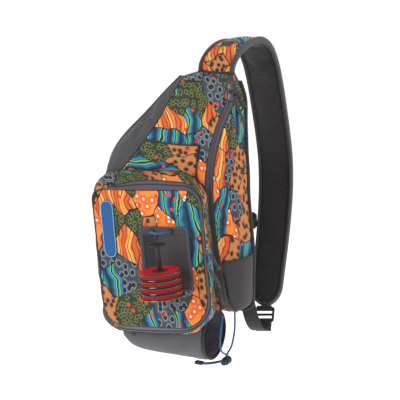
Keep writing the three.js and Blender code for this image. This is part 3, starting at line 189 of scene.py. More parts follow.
def sum_of(tree, operation, a, b):
    node = add_node(tree, "ShaderNodeMath", {"operation": operation})
    for socket, value in zip(node.inputs, (a, b)):
        if hasattr(value, "is_output"):
            tree.links.new(value, socket)
        else:
            socket.default_value = value
    return node.outputs[0]


def blend_colours(tree, factor, a, b, blend_type="MIX"):
    node = add_node(tree, "ShaderNodeMix", {"data_type": "RGBA", "blend_type": blend_type})
    for index, value in ((0, factor), (6, a), (7, b)):
        if hasattr(value, "is_output"):
            tree.links.new(value, node.inputs[index])
        else:
            node.inputs[index].default_value = value
    return node.outputs[2]


def pick_colours(tree, value, stops):
    """Flat steps of colour, as in a print: each stop holds until the next."""
    node = add_node(tree, "ShaderNodeValToRGB", Fac=value)
    ramp = node.color_ramp
    ramp.interpolation = "CONSTANT"
    ramp.elements[0].position, ramp.elements[0].color = stops[0]
    ramp.elements[1].position, ramp.elements[1].color = stops[1]
    for position, colour in stops[2:]:
        ramp.elements.new(position).color = colour
    return node.outputs["Color"]


# a wave texture of scale 1 has one band in this length
BAND_STEP = 0.314


def weave_bump(tree, shader, pitch, depth, vector=None):
    """Threads over and under: two sets of fine bands, one across the other."""
    vector = vector or own_coordinates(tree)
    scale = BAND_STEP / pitch
    bands = [add_node(tree, "ShaderNodeTexWave", {"bands_direction": way}, Vector=vector, Scale=scale)
             for way in ("X", "Z")]
    threads = sum_of(tree, "MULTIPLY", bands[0].outputs["Fac"], bands[1].outputs["Fac"])
    slubs = add_node(tree, "ShaderNodeTexNoise", Vector=vector, Scale=90, Detail=4)
    height = sum_of(tree, "ADD", threads, slubs.outputs["Fac"])
    bump = add_node(tree, "ShaderNodeBump", Height=height, Strength=0.5, Distance=depth)
    tree.links.new(bump.outputs["Normal"], shader.inputs["Normal"])
    return threads


print("helpers ready")

# %% [markdown]
# The printed cloth is the bag's face: orange flames, blue ribbons, slate and olive pebbles,
# tan spots and coral dots, each kind in its own patch with a thin dark outline. It could be
# painted by hand. A Voronoi texture is quicker: its cells are the patches, a number drawn
# for each cell picks the kind, and a noise bends everything so that no edge is straight.
# The long motifs run down the cloth because heights are squeezed before they are drawn,
# and the texture is flat, so a spot stays round on a panel that faces any way.
# Each panel is cut from another place of the cloth, so the shift is a setting.

# %% Colours of the print
INK = tint(12, 16, 22)
FLAME = [(0.0, tint(222, 92, 22)), (0.3, tint(238, 124, 36)), (0.6, tint(244, 150, 56)),
         (0.86, tint(250, 190, 96))]
RIBBON = [(0.0, INK), (0.05, tint(2, 66, 96)), (0.3, tint(0, 96, 142)), (0.48, tint(0, 142, 200)),
          (0.74, tint(4, 74, 106)), (0.84, tint(110, 196, 120)), (0.97, INK)]
SLATE = [(0.0, tint(14, 16, 20)), (0.3, tint(150, 164, 172)), (0.36, tint(84, 98, 108)),
         (0.52, tint(52, 64, 74))]
OLIVE = [(0.0, tint(14, 16, 12)), (0.25, tint(138, 146, 78)), (0.33, tint(70, 80, 36)),
         (0.52, tint(40, 48, 26))]
TAN = [(0.0, tint(44, 26, 18)), (0.3, tint(176, 110, 58)), (0.48, tint(206, 126, 62))]
CORAL = [(0.0, tint(255, 240, 222)), (0.15, tint(240, 102, 30)), (0.45, tint(246, 142, 52))]


# %% Printed cloth
def flat_cloth(tree, shift, turn):
    """The cloth as cut flat: across it, and up it, whichever way the panel faces."""
    coords = add_node(tree, "ShaderNodeTexCoord")
    split = add_node(tree, "ShaderNodeSeparateXYZ", Vector=coords.outputs["Object"])
    x, y, z = split.outputs
    across = sum_of(tree, "ADD", x, sum_of(tree, "MULTIPLY", y, 0.9))
    up = sum_of(tree, "ADD", z, sum_of(tree, "MULTIPLY", y, 0.55))
    joined = add_node(tree, "ShaderNodeCombineXYZ", X=across, Y=up)
    mapping = add_node(tree, "ShaderNodeMapping", Vector=joined.outputs["Vector"])
    mapping.inputs["Location"].default_value = shift
    mapping.inputs["Rotation"].default_value = (0, 0, turn)
    return mapping.outputs["Vector"]


def cells(tree, vector, scale, random, feature="F1"):
    settings = {"feature": feature, "voronoi_dimensions": "2D"}
    return add_node(tree, "ShaderNodeTexVoronoi", settings, Vector=vector, Scale=scale, Randomness=random)


def streaks(tree, vector, scale, distortion):
    wave = add_node(tree, "ShaderNodeTexWave", {"bands_direction": "X"}, Vector=vector, Scale=scale,
                    Distortion=distortion, Detail=2, Detail_Scale=1.1)
    return wave.outputs["Fac"]


def squeezed(tree, vector, height):
    node = add_node(tree, "ShaderNodeVectorMath", {"operation": "MULTIPLY"})
    tree.links.new(vector, node.inputs[0])
    node.inputs[1].default_value = (1, height, 1)
    return node.outputs[0]


MOTIF_SCALE, MOTIF_RANDOM = 34, 0.95


def printed_cloth(name, shift, turn=0.0):
    material, tree, shader = start_finish(name, 0.7, sheen=0.06)
    flat = flat_cloth(tree, shift, turn)
    drift = add_node(tree, "ShaderNodeTexNoise", Vector=flat, Scale=20, Detail=2)
    offset = add_node(tree, "ShaderNodeVectorMath", {"operation": "MULTIPLY_ADD"})
    tree.links.new(drift.outputs["Color"], offset.inputs[0])
    offset.inputs[1].default_value = (0.034, 0.04, 0)
    tree.links.new(flat, offset.inputs[2])
    bent = offset.outputs[0]
    tall, long, oval = squeezed(tree, bent, 0.6), squeezed(tree, bent, 0.22), squeezed(tree, flat, 0.82)
    patches = cells(tree, tall, MOTIF_SCALE, MOTIF_RANDOM)
    outline = cells(tree, tall, MOTIF_SCALE, MOTIF_RANDOM, "DISTANCE_TO_EDGE")
    draw = add_node(tree, "ShaderNodeSeparateColor", Color=patches.outputs["Color"])
    kind, side = draw.outputs[0], draw.outputs[1]

    big = cells(tree, oval, 86, 0.85)
    small = cells(tree, oval, 128, 0.9)
    wide = cells(tree, oval, 104, 0.95)
    dots = cells(tree, flat, 70, 0.9)
    ribbons = streaks(tree, squeezed(tree, bent, 0.3), 13, 3.6)
    colour = pick_colours(tree, streaks(tree, long, 15, 2.4), FLAME)
    lines = sum_of(tree, "LESS_THAN", streaks(tree, long, 52, 2.0), 0.13)
    colour = blend_colours(tree, lines, colour, tint(132, 40, 8))
    for limit, pattern, stops in (
        (0.82, ribbons, RIBBON), (0.59, big.outputs["Distance"], SLATE),
        (0.43, small.outputs["Distance"], OLIVE), (0.22, wide.outputs["Distance"], TAN),
        (0.09, dots.outputs["Distance"], CORAL),
    ):
        chosen = sum_of(tree, "LESS_THAN", kind, limit)
        colour = blend_colours(tree, chosen, colour, pick_colours(tree, pattern, stops))
    number = add_node(tree, "ShaderNodeSeparateColor", Color=small.outputs["Color"])
    seed = sum_of(tree, "LESS_THAN", number.outputs[0], 0.07)
    sprinkle = sum_of(tree, "MULTIPLY", seed, sum_of(tree, "LESS_THAN", small.outputs["Distance"], 0.34))
    shown = sum_of(tree, "MULTIPLY", sprinkle, sum_of(tree, "LESS_THAN", side, 0.75))
    colour = blend_colours(tree, shown, colour, tint(236, 48, 18))
    line = sum_of(tree, "LESS_THAN", outline.outputs["Distance"], 0.022)
    colour = blend_colours(tree, line, colour, INK)
    fade = add_node(tree, "ShaderNodeTexNoise", Vector=flat, Scale=60, Detail=4)
    shade = sum_of(tree, "MULTIPLY", fade.outputs["Fac"], 0.3)
    colour = blend_colours(tree, shade, colour, tint(150, 140, 140), "MULTIPLY")
    tree.links.new(colour, shader.inputs["Base Color"])
    weave_bump(tree, shader, 0.0011, 0.00012)
    return material


PRINT_FRONT = printed_cloth("printed cloth, front", (0.52, 0.71, 0))
PRINT_SIDE = printed_cloth("printed cloth, side", (0.87, 0.15, 0), 0.2)
PRINT_POCKET = printed_cloth("printed cloth, pocket", (1.35, 0.92, 0), -0.12)
PRINT_STRAP = printed_cloth("printed cloth, strap", (1.92, 0.53, 0), 0.3)
PRINT_PATCH = printed_cloth("printed cloth, patch pocket", (2.45, 0.28, 0), 1.4)
print("cuts of printed cloth:", sum(m.name.startswith("printed") for m in bpy.data.materials))

# %% [markdown]
# The plain fabrics differ in thread and surface: a grey pack cloth, a smooth coated tape
# for the zippers, a brushed patch for hooks, an open mesh that breathes, and a ribbed tape
# for bindings and webbing. Their weave is a bump, and a slow noise keeps them from looking
# like paint.

# %% Plain fabrics
def plain_cloth(name, colour, roughness, pitch, depth, sheen=0.1, mottle=0.35):
    material, tree, shader = start_finish(name, roughness, sheen=sheen)
    vector = own_coordinates(tree)
    threads = weave_bump(tree, shader, pitch, depth, vector)
    cloud = add_node(tree, "ShaderNodeTexNoise", Vector=vector, Scale=42, Detail=5)
    dark = tuple(c * 0.72 for c in colour[:3]) + (1,)
    mixed = sum_of(tree, "MULTIPLY", cloud.outputs["Fac"], mottle)
    woven = blend_colours(tree, mixed, colour, dark)
    # Painted highlight: the raised threads are painted paler, in step with the weave bump.
    thread_highlight = sum_of(tree, "MULTIPLY", threads, 0.16)
    light = tuple(min(1, c * 1.35) for c in colour[:3]) + (1,)
    tree.links.new(blend_colours(tree, thread_highlight, woven, light), shader.inputs["Base Color"])
    return material


def brushed_cloth(name, colour):
    material, tree, shader = start_finish(name, 0.95, sheen=0.12)
    vector = own_coordinates(tree)
    fuzz = add_node(tree, "ShaderNodeTexNoise", Vector=vector, Scale=900, Detail=3)
    nap = add_node(tree, "ShaderNodeTexNoise", Vector=vector, Scale=60, Detail=4)
    pale = tuple(min(1, c * 1.5) for c in colour[:3]) + (1,)
    tree.links.new(blend_colours(tree, nap.outputs["Fac"], colour, pale), shader.inputs["Base Color"])
    bump = add_node(tree, "ShaderNodeBump", Height=fuzz.outputs["Fac"], Strength=0.8, Distance=0.0006)
    tree.links.new(bump.outputs["Normal"], shader.inputs["Normal"])
    return material


def open_mesh(name, colour, hole_shade, pitch=0.0036):
    """Rows of small round holes, every second row set over by half a step. The holes are painted dark, as
    painted shade in each hole.
    """
    material, tree, shader = start_finish(name, 0.85, sheen=0.2)
    vector = own_coordinates(tree, turn=(0, math.radians(45), 0))
    holes = add_node(tree, "ShaderNodeTexVoronoi", {"feature": "F1"}, Vector=vector,
                     Scale=1 / pitch, Randomness=0.0)
    inside = sum_of(tree, "LESS_THAN", holes.outputs["Distance"], 0.34)
    tree.links.new(blend_colours(tree, inside, colour, hole_shade), shader.inputs["Base Color"])
    bump = add_node(tree, "ShaderNodeBump", Height=holes.outputs["Distance"], Strength=0.7,
                    Distance=0.0007)
    tree.links.new(bump.outputs["Normal"], shader.inputs["Normal"])
    return material


RIB_PITCH = 0.0016


def ribbed_tape(name, colour, turn=(0, 0, 0)):
    material, tree, shader = start_finish(name, 0.7, sheen=0.12)
    vector = own_coordinates(tree, turn=turn)
    ribs = add_node(tree, "ShaderNodeTexWave", {"bands_direction": "Z"}, Vector=vector,
                    Scale=BAND_STEP / RIB_PITCH, Distortion=0.6)
    cloud = add_node(tree, "ShaderNodeTexNoise", Vector=vector, Scale=70, Detail=4)
    dark = tuple(c * 0.6 for c in colour[:3]) + (1,)
    shade = sum_of(tree, "MULTIPLY", cloud.outputs["Fac"], 0.5)
    tree.links.new(blend_colours(tree, shade, colour, dark), shader.inputs["Base Color"])
    bump = add_node(tree, "ShaderNodeBump", Height=ribs.outputs["Fac"], Strength=0.7, Distance=0.0004)
    tree.links.new(bump.outputs["Normal"], shader.inputs["Normal"])
    return material


GREY_CLOTH = plain_cloth("grey pack cloth", tint(63, 60, 65), 0.8, 0.0012, 0.0002)
# Dark pack cloth for the pocket's hinge side; the same finish is painted shade on the dock window's left
# part.
DARK_CLOTH_AND_SHADE = plain_cloth("dark pack cloth and painted shade", tint(34, 32, 35), 0.82, 0.0012, 0.0002)
SLEEVE_CLOTH = plain_cloth("sleeve cloth", tint(82, 80, 86), 0.75, 0.0012, 0.0002, mottle=0.25)
COATED_TAPE = plain_cloth("coated zipper tape", tint(86, 82, 89), 0.5, 0.0008, 0.00006, sheen=0.0)
MAIN_TAPE = plain_cloth("main zipper tape", tint(62, 58, 64), 0.45, 0.0008, 0.00006, sheen=0.0)
ZIP_GROOVE = plain_cloth("zipper groove", tint(44, 41, 46), 0.6, 0.0008, 0.0001, sheen=0.0)
BRUSHED = brushed_cloth("brushed patch", tint(50, 46, 48))
STRAP_MESH = open_mesh("strap mesh", tint(38, 33, 35), tint(14, 12, 13))
BACK_MESH = open_mesh("back mesh", tint(62, 60, 64), tint(22, 21, 23), 0.0048)
BINDING = ribbed_tape("binding tape", tint(80, 76, 83))
STRAP_BINDING = ribbed_tape("strap binding", tint(58, 54, 58))
DARK_BINDING = ribbed_tape("dark binding tape", tint(30, 28, 31))
WEBBING = ribbed_tape("webbing", tint(38, 36, 39), (0, math.radians(35), 0))
print("plain fabrics ready")

# %% [markdown]
# The hard parts are moulded plastic and painted metal, and the cords are braided. Moulded
# plastic has a fine grain that breaks up its shine. A braid is two sets of slanting strands,
# so two wave textures at opposite slants make its bump.

# %% Hard parts, cords and thread
def moulded(name, colour, roughness, grain=0.00005, coat=0.0, shift=0.25):
    material, tree, shader = start_finish(name, roughness, coat=coat)
    vector = own_coordinates(tree)
    pores = add_node(tree, "ShaderNodeTexNoise", Vector=vector, Scale=1600, Detail=2)
    cloud = add_node(tree, "ShaderNodeTexNoise", Vector=vector, Scale=120, Detail=4)
    pale = tuple(min(1, c * 1.6 + 0.01) for c in colour[:3]) + (1,)
    amount = sum_of(tree, "MULTIPLY", cloud.outputs["Fac"], shift)
    tree.links.new(blend_colours(tree, amount, colour, pale), shader.inputs["Base Color"])
    bump = add_node(tree, "ShaderNodeBump", Height=pores.outputs["Fac"], Strength=0.5, Distance=grain)
    tree.links.new(bump.outputs["Normal"], shader.inputs["Normal"])
    return material


def braided(name, colour, fleck):
    material, tree, shader = start_finish(name, 0.6, sheen=0.15)
    slants = [add_node(tree, "ShaderNodeTexWave", {"bands_direction": "DIAGONAL"},
                       Vector=own_coordinates(tree, stretch=(way, 1, 1)), Scale=150)
              for way in (1, -1)]
    braid = sum_of(tree, "MULTIPLY", slants[0].outputs["Fac"], slants[1].outputs["Fac"])
    # Painted shade: the grooves between strands are painted darker, in step with the braid's bump.
    dark = tuple(c * 0.45 for c in colour[:3]) + (1,)
    base = blend_colours(tree, braid, dark, colour)
    dots = add_node(tree, "ShaderNodeTexVoronoi", Vector=own_coordinates(tree), Scale=420)
    seldom = sum_of(tree, "LESS_THAN", dots.outputs["Distance"], 0.2)
    tree.links.new(blend_colours(tree, seldom, base, fleck), shader.inputs["Base Color"])
    bump = add_node(tree, "ShaderNodeBump", Height=braid, Strength=0.8, Distance=0.0005)
    tree.links.new(bump.outputs["Normal"], shader.inputs["Normal"])
    return material


BLACK_PLASTIC = moulded("black plastic", tint(26, 26, 28), 0.42)
RED_PLASTIC = moulded("red spool plastic", tint(222, 14, 24), 0.3, coat=0.2, shift=0.03)
SMOKE_PLASTIC = moulded("smoke rim plastic", tint(58, 44, 48), 0.16, coat=0.5, shift=0.1)
LABEL_RUBBER = moulded("blue label rubber", tint(0, 78, 140), 0.55, grain=0.0001, shift=0.04)
LABEL_EDGE = moulded("pale label edge", tint(128, 172, 206), 0.5)
DARK_METAL = moulded("painted metal", tint(66, 66, 70), 0.35, coat=0.2)
BLUE_BRAID = braided("blue braided cord", tint(0, 104, 176), tint(40, 160, 220))
GREY_BRAID = braided("grey pull cord", tint(66, 66, 68), tint(110, 110, 110))
LINE = braided("wound line", tint(240, 16, 28), tint(250, 90, 90))
THREAD = braided("grey sewing thread", tint(120, 118, 124), tint(160, 160, 165))
print("finishes made:", len(bpy.data.materials))

# %% [markdown]
# The cord is 3 mm, limp, sewn under the compartment at both ends. It
# hangs down as a U, and both strands run through a spring lock to one small grip. It could be
# dropped in a simulation. A Bezier curve through chosen points is steadier: it gives one
# smooth line, and its own length is printed.

# %% Retention cord
CORD_WIDTH = 3.0
FRONT_STRAND = [
    (104, -63, 97), (104, -64.5, 90), (103.5, -67, 80), (103, -69, 68), (102.5, -69, 56),
    (102, -66.5, 45), (102, -61, 36), (102, -53.5, 31), (102, -47.5, 28), (101.5, -46, 22.5),
    (99, -46.2, 17.5), (95.3, -46.5, 15.3), (90, -48.5, 13.5), (84, -51.5, 12), (78, -54, 11),
    (72, -55.2, 10), (66, -55.5, 9.3),
]
BACK_STRAND = [
    (104, -22, 97), (104, -21, 90), (103.5, -19, 80), (103, -18, 68), (102.5, -18.5, 56),
    (102, -21.5, 45), (102, -27, 36), (102, -34.5, 31), (102, -40.5, 28), (101.5, -42, 22.5),
    (99, -42, 17.5), (95.3, -41.8, 15.3), (90, -41.5, 13), (84, -43, 11.2), (78, -46, 10),
    (72, -49.3, 9.4), (66, -51.7, 9.2),
]


def lay_cord(name, points, width, finish):
    data = bpy.data.curves.new(name, "CURVE")
    data.dimensions = "3D"
    data.bevel_depth = width / 2000
    data.bevel_resolution = 3
    data.resolution_u = 6
    data.use_fill_caps = True
    spline = data.splines.new("BEZIER")
    spline.bezier_points.add(len(points) - 1)
    for knot, point in zip(spline.bezier_points, points):
        knot.co = place(*point)
        knot.handle_left_type = knot.handle_right_type = "AUTO"
    cord = bpy.data.objects.new(name, data)
    scene.collection.objects.link(cord)
    data.materials.append(finish)
    bpy.context.view_layer.update()
    return cord, spline.calc_length()


for name, points, nodes in (
    ("retention_cord_front_strand", FRONT_STRAND, ("retention_cord_front", "retention_tail_front")),
    ("retention_cord_back_strand", BACK_STRAND, ("retention_cord_back", "retention_tail_back")),
):
    strand, length = lay_cord(name, points, CORD_WIDTH, BLUE_BRAID)
    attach(strand, BAG)
    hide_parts(*nodes)
    print(name, "is", round(length, 3), "m long")

# %% [markdown]
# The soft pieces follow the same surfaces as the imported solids, so the surfaces are written
# down again here: a few sections up the compartment, each with the places of its back edges,
# of the wing's seam and of the zipper. Between sections the values run smoothly.

# %% Surfaces of the compartment
HALF_WIDTH, BODY_HEIGHT, BODY_DEPTH, BODY_BOTTOM = 127.0, 348.0, 72.0, 98.0
BODY_TOP = BODY_BOTTOM + BODY_HEIGHT
BACK_Y = -8.3
ZIP_WIDTH = 12.0
SECTION_AT = [0, 0.02, 0.05, 0.12, 0.24, 0.39, 0.50, 0.60, 0.70, 0.83, 0.93, 1.0]
SECTIONS = {
    "left": [-0.93, -0.97, -1, -1, -1, -1, -0.99, -0.96, -0.79, -0.44, -0.18, 0.015],
    "right": [0.95, 0.98, 1, 1, 1, 0.96, 0.93, 0.92, 0.90, 0.885, 0.875, 0.815],
    "seam_x": [-0.78, -0.82, -0.85, -0.87, -0.87, -0.86, -0.76, -0.54, -0.33, -0.11, 0, 0.095],
    "seam_y": [0.76, 0.86, 0.92, 0.94, 0.94, 0.94, 0.94, 0.91, 0.83, 0.62, 0.42, 0.30],
    "zip_x": [0.90, 0.90, 0.87, 0.84, 0.77, 0.70, 0.665, 0.655, 0.67, 0.72, 0.785, 0.75],
    "zip_y": [0.66, 0.80, 0.93, 0.99, 1, 0.99, 0.97, 0.95, 0.87, 0.66, 0.43, 0.28],
    "full": [0.2, 0.5, 0.8, 1, 1, 1, 1, 1, 0.9, 0.7, 0.4, 0.1],
}


def smooth_value(at, values, share):
    last = len(at) - 1
    i = 0
    while i < last - 1 and share > at[i + 1]:
        i += 1
    span = at[i + 1] - at[i]
    t = min(1, max(0, (share - at[i]) / span))
    before, after = max(0, i - 1), min(last, i + 2)
    slope_a = (values[i + 1] - values[before]) / (at[i + 1] - at[before]) * span
    slope_b = (values[after] - values[i]) / (at[after] - at[i]) * span
    t2, t3 = t * t, t * t * t
    return ((2 * t3 - 3 * t2 + 1) * values[i] + (t3 - 2 * t2 + t) * slope_a
            + (3 * t2 - 2 * t3) * values[i + 1] + (t3 - t2) * slope_b)


def body_corners(v):
    at = {key: smooth_value(SECTION_AT, column, v) for key, column in SECTIONS.items()}
    right = Vector((at["right"] * HALF_WIDTH, BACK_Y))
    left = Vector((at["left"] * HALF_WIDTH, BACK_Y))
    seam = Vector((at["seam_x"] * HALF_WIDTH, -at["seam_y"] * BODY_DEPTH))
    zipper = Vector((at["zip_x"] * HALF_WIDTH, -at["zip_y"] * BODY_DEPTH))
    across = (right - seam).normalized() * ZIP_WIDTH / 2
    return [right, zipper + across, zipper - across, seam, left], at["full"]


def body_skin(u, v):
    """u: 0 right back edge, 1 and 2 the zipper's sides, 3 wing seam, 4 left back edge."""
    corners, full = body_corners(min(1, max(0, v)))
    side = min(3, max(0, int(math.floor(u))))
    f = u - side
    chord = corners[side + 1] - corners[side]
    out = Vector((-chord.y, chord.x)).normalized()
    swell = (6.0, 0.0, 4.0, 6.0)[side] * full * math.sin(math.pi * min(1, max(0, f)))
    p = corners[side] + chord * f + out * swell
    return Vector((p.x, p.y, BODY_BOTTOM + v * BODY_HEIGHT))


def skin_normal(surface, u, v, outward):
    step = 0.004
    a = surface(u + step, v) - surface(u - step, v)
    b = surface(u, v + step) - surface(u, v - step)
    n = a.cross(b).normalized()
    return n if n.dot(outward) > 0 else -n


print("the compartment is widest at", round(body_skin(0, 0.2).x - body_skin(4, 0.2).x), "mm")

# %% [markdown]
# A sheet of cloth starts as a flat grid. Each point of the grid is laid on its surface, the
# two ends are merged where the sheet closes on itself, and a Solidify modifier gives the
# wall at the end. A round tape, piping or drawn seam is a curve with a round section.

# %% Helpers for cloth and seams
def deselect():
    if bpy.context.object and bpy.context.object.mode != "OBJECT":
        bpy.ops.object.mode_set(mode="OBJECT")
    bpy.ops.object.select_all(action="DESELECT")


def make_active(piece):
    deselect()
    piece.select_set(True)
    bpy.context.view_layer.objects.active = piece


def apply_modifiers(piece):
    make_active(piece)
    for modifier in list(piece.modifiers):
        bpy.ops.object.modifier_apply(modifier=modifier.name)


# points nearer than this, in metres, are merged into one
CLOSE, VERY_CLOSE = 0.00002, 0.00001


def lay_sheet(name, surface, us, vs, closed=False, outward=None):
    """A grid of points laid on a surface, given in the bag's millimetres."""
    deselect()
    nu, nv = len(us) - 1, len(vs) - 1
    bpy.ops.mesh.primitive_grid_add(x_subdivisions=nu, y_subdivisions=nv, size=1)
    piece = bpy.context.object
    piece.name = piece.data.name = name
    for vertex in piece.data.vertices:
        i = round((vertex.co.x + 0.5) * nu)
        j = round((vertex.co.y + 0.5) * nv)
        vertex.co = place(*surface(us[i], vs[j]))
    if closed:
        bpy.ops.object.mode_set(mode="EDIT")
        bpy.ops.mesh.select_all(action="SELECT")
        bpy.ops.mesh.remove_doubles(threshold=CLOSE)
        bpy.ops.object.mode_set(mode="OBJECT")
    if outward is not None:
        face = piece.data.polygons[len(piece.data.polygons) // 2]
        if face.normal.dot(Vector(outward)) < 0:
            bpy.ops.object.mode_set(mode="EDIT")
            bpy.ops.mesh.select_all(action="SELECT")
            bpy.ops.mesh.flip_normals()
            bpy.ops.object.mode_set(mode="OBJECT")
    bpy.ops.object.shade_smooth()
    return piece


def grid_places(piece, us, vs):
    """Each point's own place on its sheet, read back by the grid's map."""
    places = {}
    uv = piece.data.uv_layers.active.data
    for polygon in piece.data.polygons:
        for loop in polygon.loop_indices:
            i = round(uv[loop].uv[0] * (len(us) - 1))
            j = round(uv[loop].uv[1] * (len(vs) - 1))
            places[piece.data.loops[loop].vertex_index] = (us[i], vs[j])
    return places


def steps(start, end, count):
    return [start + (end - start) * k / count for k in range(count + 1)]


def spread(*parts):
    """Joined runs of steps: (start, end, count), each run starting where the last one ended."""
    values = [parts[0][0]]
    for start, end, count in parts:
        values += steps(start, end, count)[1:]
    return values


def finish_piece(piece, slot, *nodes, body=BAG):
    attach(piece, body)
    if nodes:
        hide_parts(*nodes)
    return piece


def add_smoothing(piece, levels):
    soft = piece.modifiers.new("smooth", "SUBSURF")
    soft.levels = soft.render_levels = levels


CLOTH_WALL, THIN_WALL = 2.0, 1.8


def thicken(piece, wall, levels=0):
    if levels:
        add_smoothing(piece, levels)
    solid = piece.modifiers.new("wall", "SOLIDIFY")
    solid.thickness = wall / 1000
    solid.offset = -1.0
    apply_modifiers(piece)


def cut_panels(sheet, wall):
    """Cuts a sheet into its panels, one for each finish, and gives every panel a closed wall."""
    add_smoothing(sheet, 1)
    apply_modifiers(sheet)
    bpy.ops.object.mode_set(mode="EDIT")
    bpy.ops.mesh.select_all(action="SELECT")
    bpy.ops.mesh.separate(type="MATERIAL")
    bpy.ops.object.mode_set(mode="OBJECT")
    panels = {panel.data.materials[0].name: panel for panel in bpy.context.selected_objects
              if panel.data.materials}
    for panel in panels.values():
        thicken(panel, wall)
        bpy.ops.object.shade_smooth_by_angle(angle=math.radians(50))
    return panels


def run_tube(name, points, radius, finish, closed=False):
    """A tube through points in the bag's millimetres."""
    data = bpy.data.curves.new(name, "CURVE")
    data.dimensions = "3D"
    data.bevel_depth = radius / 1000
    data.bevel_resolution = 3
    data.use_fill_caps = True
    spline = data.splines.new("POLY")
    spline.points.add(len(points) - 1)
    for knot, point in zip(spline.points, points):
        knot.co = (*place(*point), 1)
    spline.use_cyclic_u = closed
    tube = bpy.data.objects.new(name, data)
    scene.collection.objects.link(tube)
    make_active(tube)
    bpy.ops.object.convert(target="MESH")
    tube = bpy.context.object
    bpy.ops.object.mode_set(mode="EDIT")
    bpy.ops.mesh.select_all(action="SELECT")
    bpy.ops.mesh.remove_doubles(threshold=VERY_CLOSE)
    bpy.ops.mesh.normals_make_consistent(inside=False)
    bpy.ops.object.mode_set(mode="OBJECT")
    tube.name = tube.data.name = name
    tube.data.materials.clear()
    tube.data.materials.append(finish)
    bpy.ops.object.shade_smooth()
    return tube


def join_pieces(name, pieces):
    deselect()
    for piece in pieces:
        piece.select_set(True)
    bpy.context.view_layer.objects.active = pieces[0]
    bpy.ops.object.join()
    pieces[0].name = pieces[0].data.name = name
    return pieces[0]


print("cloth helpers ready")

# %% [markdown]
# Cloth that is sewn along its edges and filled from inside stands out between the seams and
# puckers beside them. Blender's Cloth does that by itself: the seams are pinned, a little
# air pressure fills the cloth, and the cloth is let out by two or three parts in a hundred,
# so that it has something to pucker with. A cap keeps each point near its solid.

# %% Helper that fills sewn cloth
CLOTH_STIFFNESS = 8.0


def fill_cloth(piece, pinned, pressure, let_out, cap):
    group = piece.vertex_groups.new(name="sewn")
    group.add(pinned, 1.0, "REPLACE")
    before = [vertex.co.copy() for vertex in piece.data.vertices]
    cloth = piece.modifiers.new("cloth", "CLOTH")
    settings = cloth.settings
    settings.quality = 4
    settings.mass = 0.25
    settings.tension_stiffness = settings.compression_stiffness = CLOTH_STIFFNESS
    settings.shear_stiffness = CLOTH_STIFFNESS / 2
    settings.bending_stiffness = 0.4
    settings.vertex_group_mass = "sewn"
    settings.use_pressure = True
    settings.uniform_pressure_force = pressure
    settings.shrink_min = -let_out
    settings.shrink_max = -let_out
    settings.effector_weights.gravity = 0
    cloth.collision_settings.use_collision = False
    cloth.point_cache.frame_start, cloth.point_cache.frame_end = 1, 20
    for moment in range(1, 21):
        scene.frame_set(moment)
    apply_modifiers(piece)
    scene.frame_set(1)
    moved = 0.0
    for vertex, start in zip(piece.data.vertices, before):
        way = vertex.co - start
        if way.length > cap / 1000:
            vertex.co = start + way.normalized() * cap / 1000
        moved = max(moved, (vertex.co - start).length)
    return moved


# %% [markdown]
# The compartment's front is one sheet round three sides: gusset, zipper, printed front and
# grey wing. The floor and the yoke under the strap are the same sheet drawn in at its ends.
# It is laid and filled as one, so the seams meet, and cut into its panels by their finish.

# %% Compartment
STRAP_ROOT = Vector((64.0, -6.0, 458.8))
YOKE_TOP = {"x": (34.5, 93.5), "y": (-11.0, -2.0)}
YOKE_ROWS, YOKE_RISE = 0.036, 12.3
FLOOR_ROWS = 0.1


def compartment(u, v):
    if v < 0:
        p = body_skin(u, 0)
        inward = Vector((0.0, -30.0, p.z)) - p
        return p + inward * min(0.9, -v * 9) + Vector((0, 0, -3.0 * math.sin(min(1, -v * 9) * math.pi / 2)))
    if v <= 1:
        return body_skin(u, v)
    rise = (v - 1) / YOKE_ROWS
    p = body_skin(u, 1)
    ends = [body_skin(k, 1) for k in (0, 4)]
    x_share = (p.x - ends[1].x) / (ends[0].x - ends[1].x)
    front = min(body_skin(k / 4, 1).y for k in range(17))
    y_share = (p.y - BACK_Y) / (front - BACK_Y)
    top = Vector((YOKE_TOP["x"][0] + x_share * (YOKE_TOP["x"][1] - YOKE_TOP["x"][0]),
                  YOKE_TOP["y"][1] + y_share * (YOKE_TOP["y"][0] - YOKE_TOP["y"][1]), p.z + YOKE_RISE))
    narrow = rise ** 1.3
    return Vector((p.x + (top.x - p.x) * narrow, p.y + (top.y - p.y) * narrow, p.z + YOKE_RISE * rise))


body_us = spread((0, 1, 15), (1, 1.44, 2), (1.44, 1.56, 2), (1.56, 2, 2), (2, 3, 38), (3, 4, 17))
body_vs = spread((-FLOOR_ROWS, 0, 5), (0, 1, 78), (1, 1 + YOKE_ROWS, 5))
shell = lay_sheet("compartment", compartment, body_us, body_vs, outward=(0, -1, 0))

grid_place = grid_places(shell, body_us, body_vs)
skin_tree = BVHTree.FromPolygons([v.co.copy() for v in shell.data.vertices],
                                 [tuple(p.vertices) for p in shell.data.polygons])
for finish in (PRINT_SIDE, MAIN_TAPE, PRINT_FRONT, GREY_CLOTH):
    shell.data.materials.append(finish)
for polygon in shell.data.polygons:
    middle = sum(grid_place[i][0] for i in polygon.vertices) / len(polygon.vertices)
    polygon.material_index = min(3, int(middle))

PATCH_FOOT, PATCH_TALL, PATCH_RIGHT, PATCH_SPARE = 300.0, 56.0, 63.0, 4.0
PATCH_LOW = (PATCH_FOOT - PATCH_SPARE - BODY_BOTTOM) / BODY_HEIGHT
PATCH_HIGH = (PATCH_FOOT + PATCH_TALL + PATCH_SPARE - BODY_BOTTOM) / BODY_HEIGHT
HOOK_HIGH = 0.27


def sewn_down(u, v):
    """Cloth under the patch pocket or the hook patch stays flat."""
    return (2 < u < 3 and PATCH_LOW < v < PATCH_HIGH) or (u < 1 and v < HOOK_HIGH)


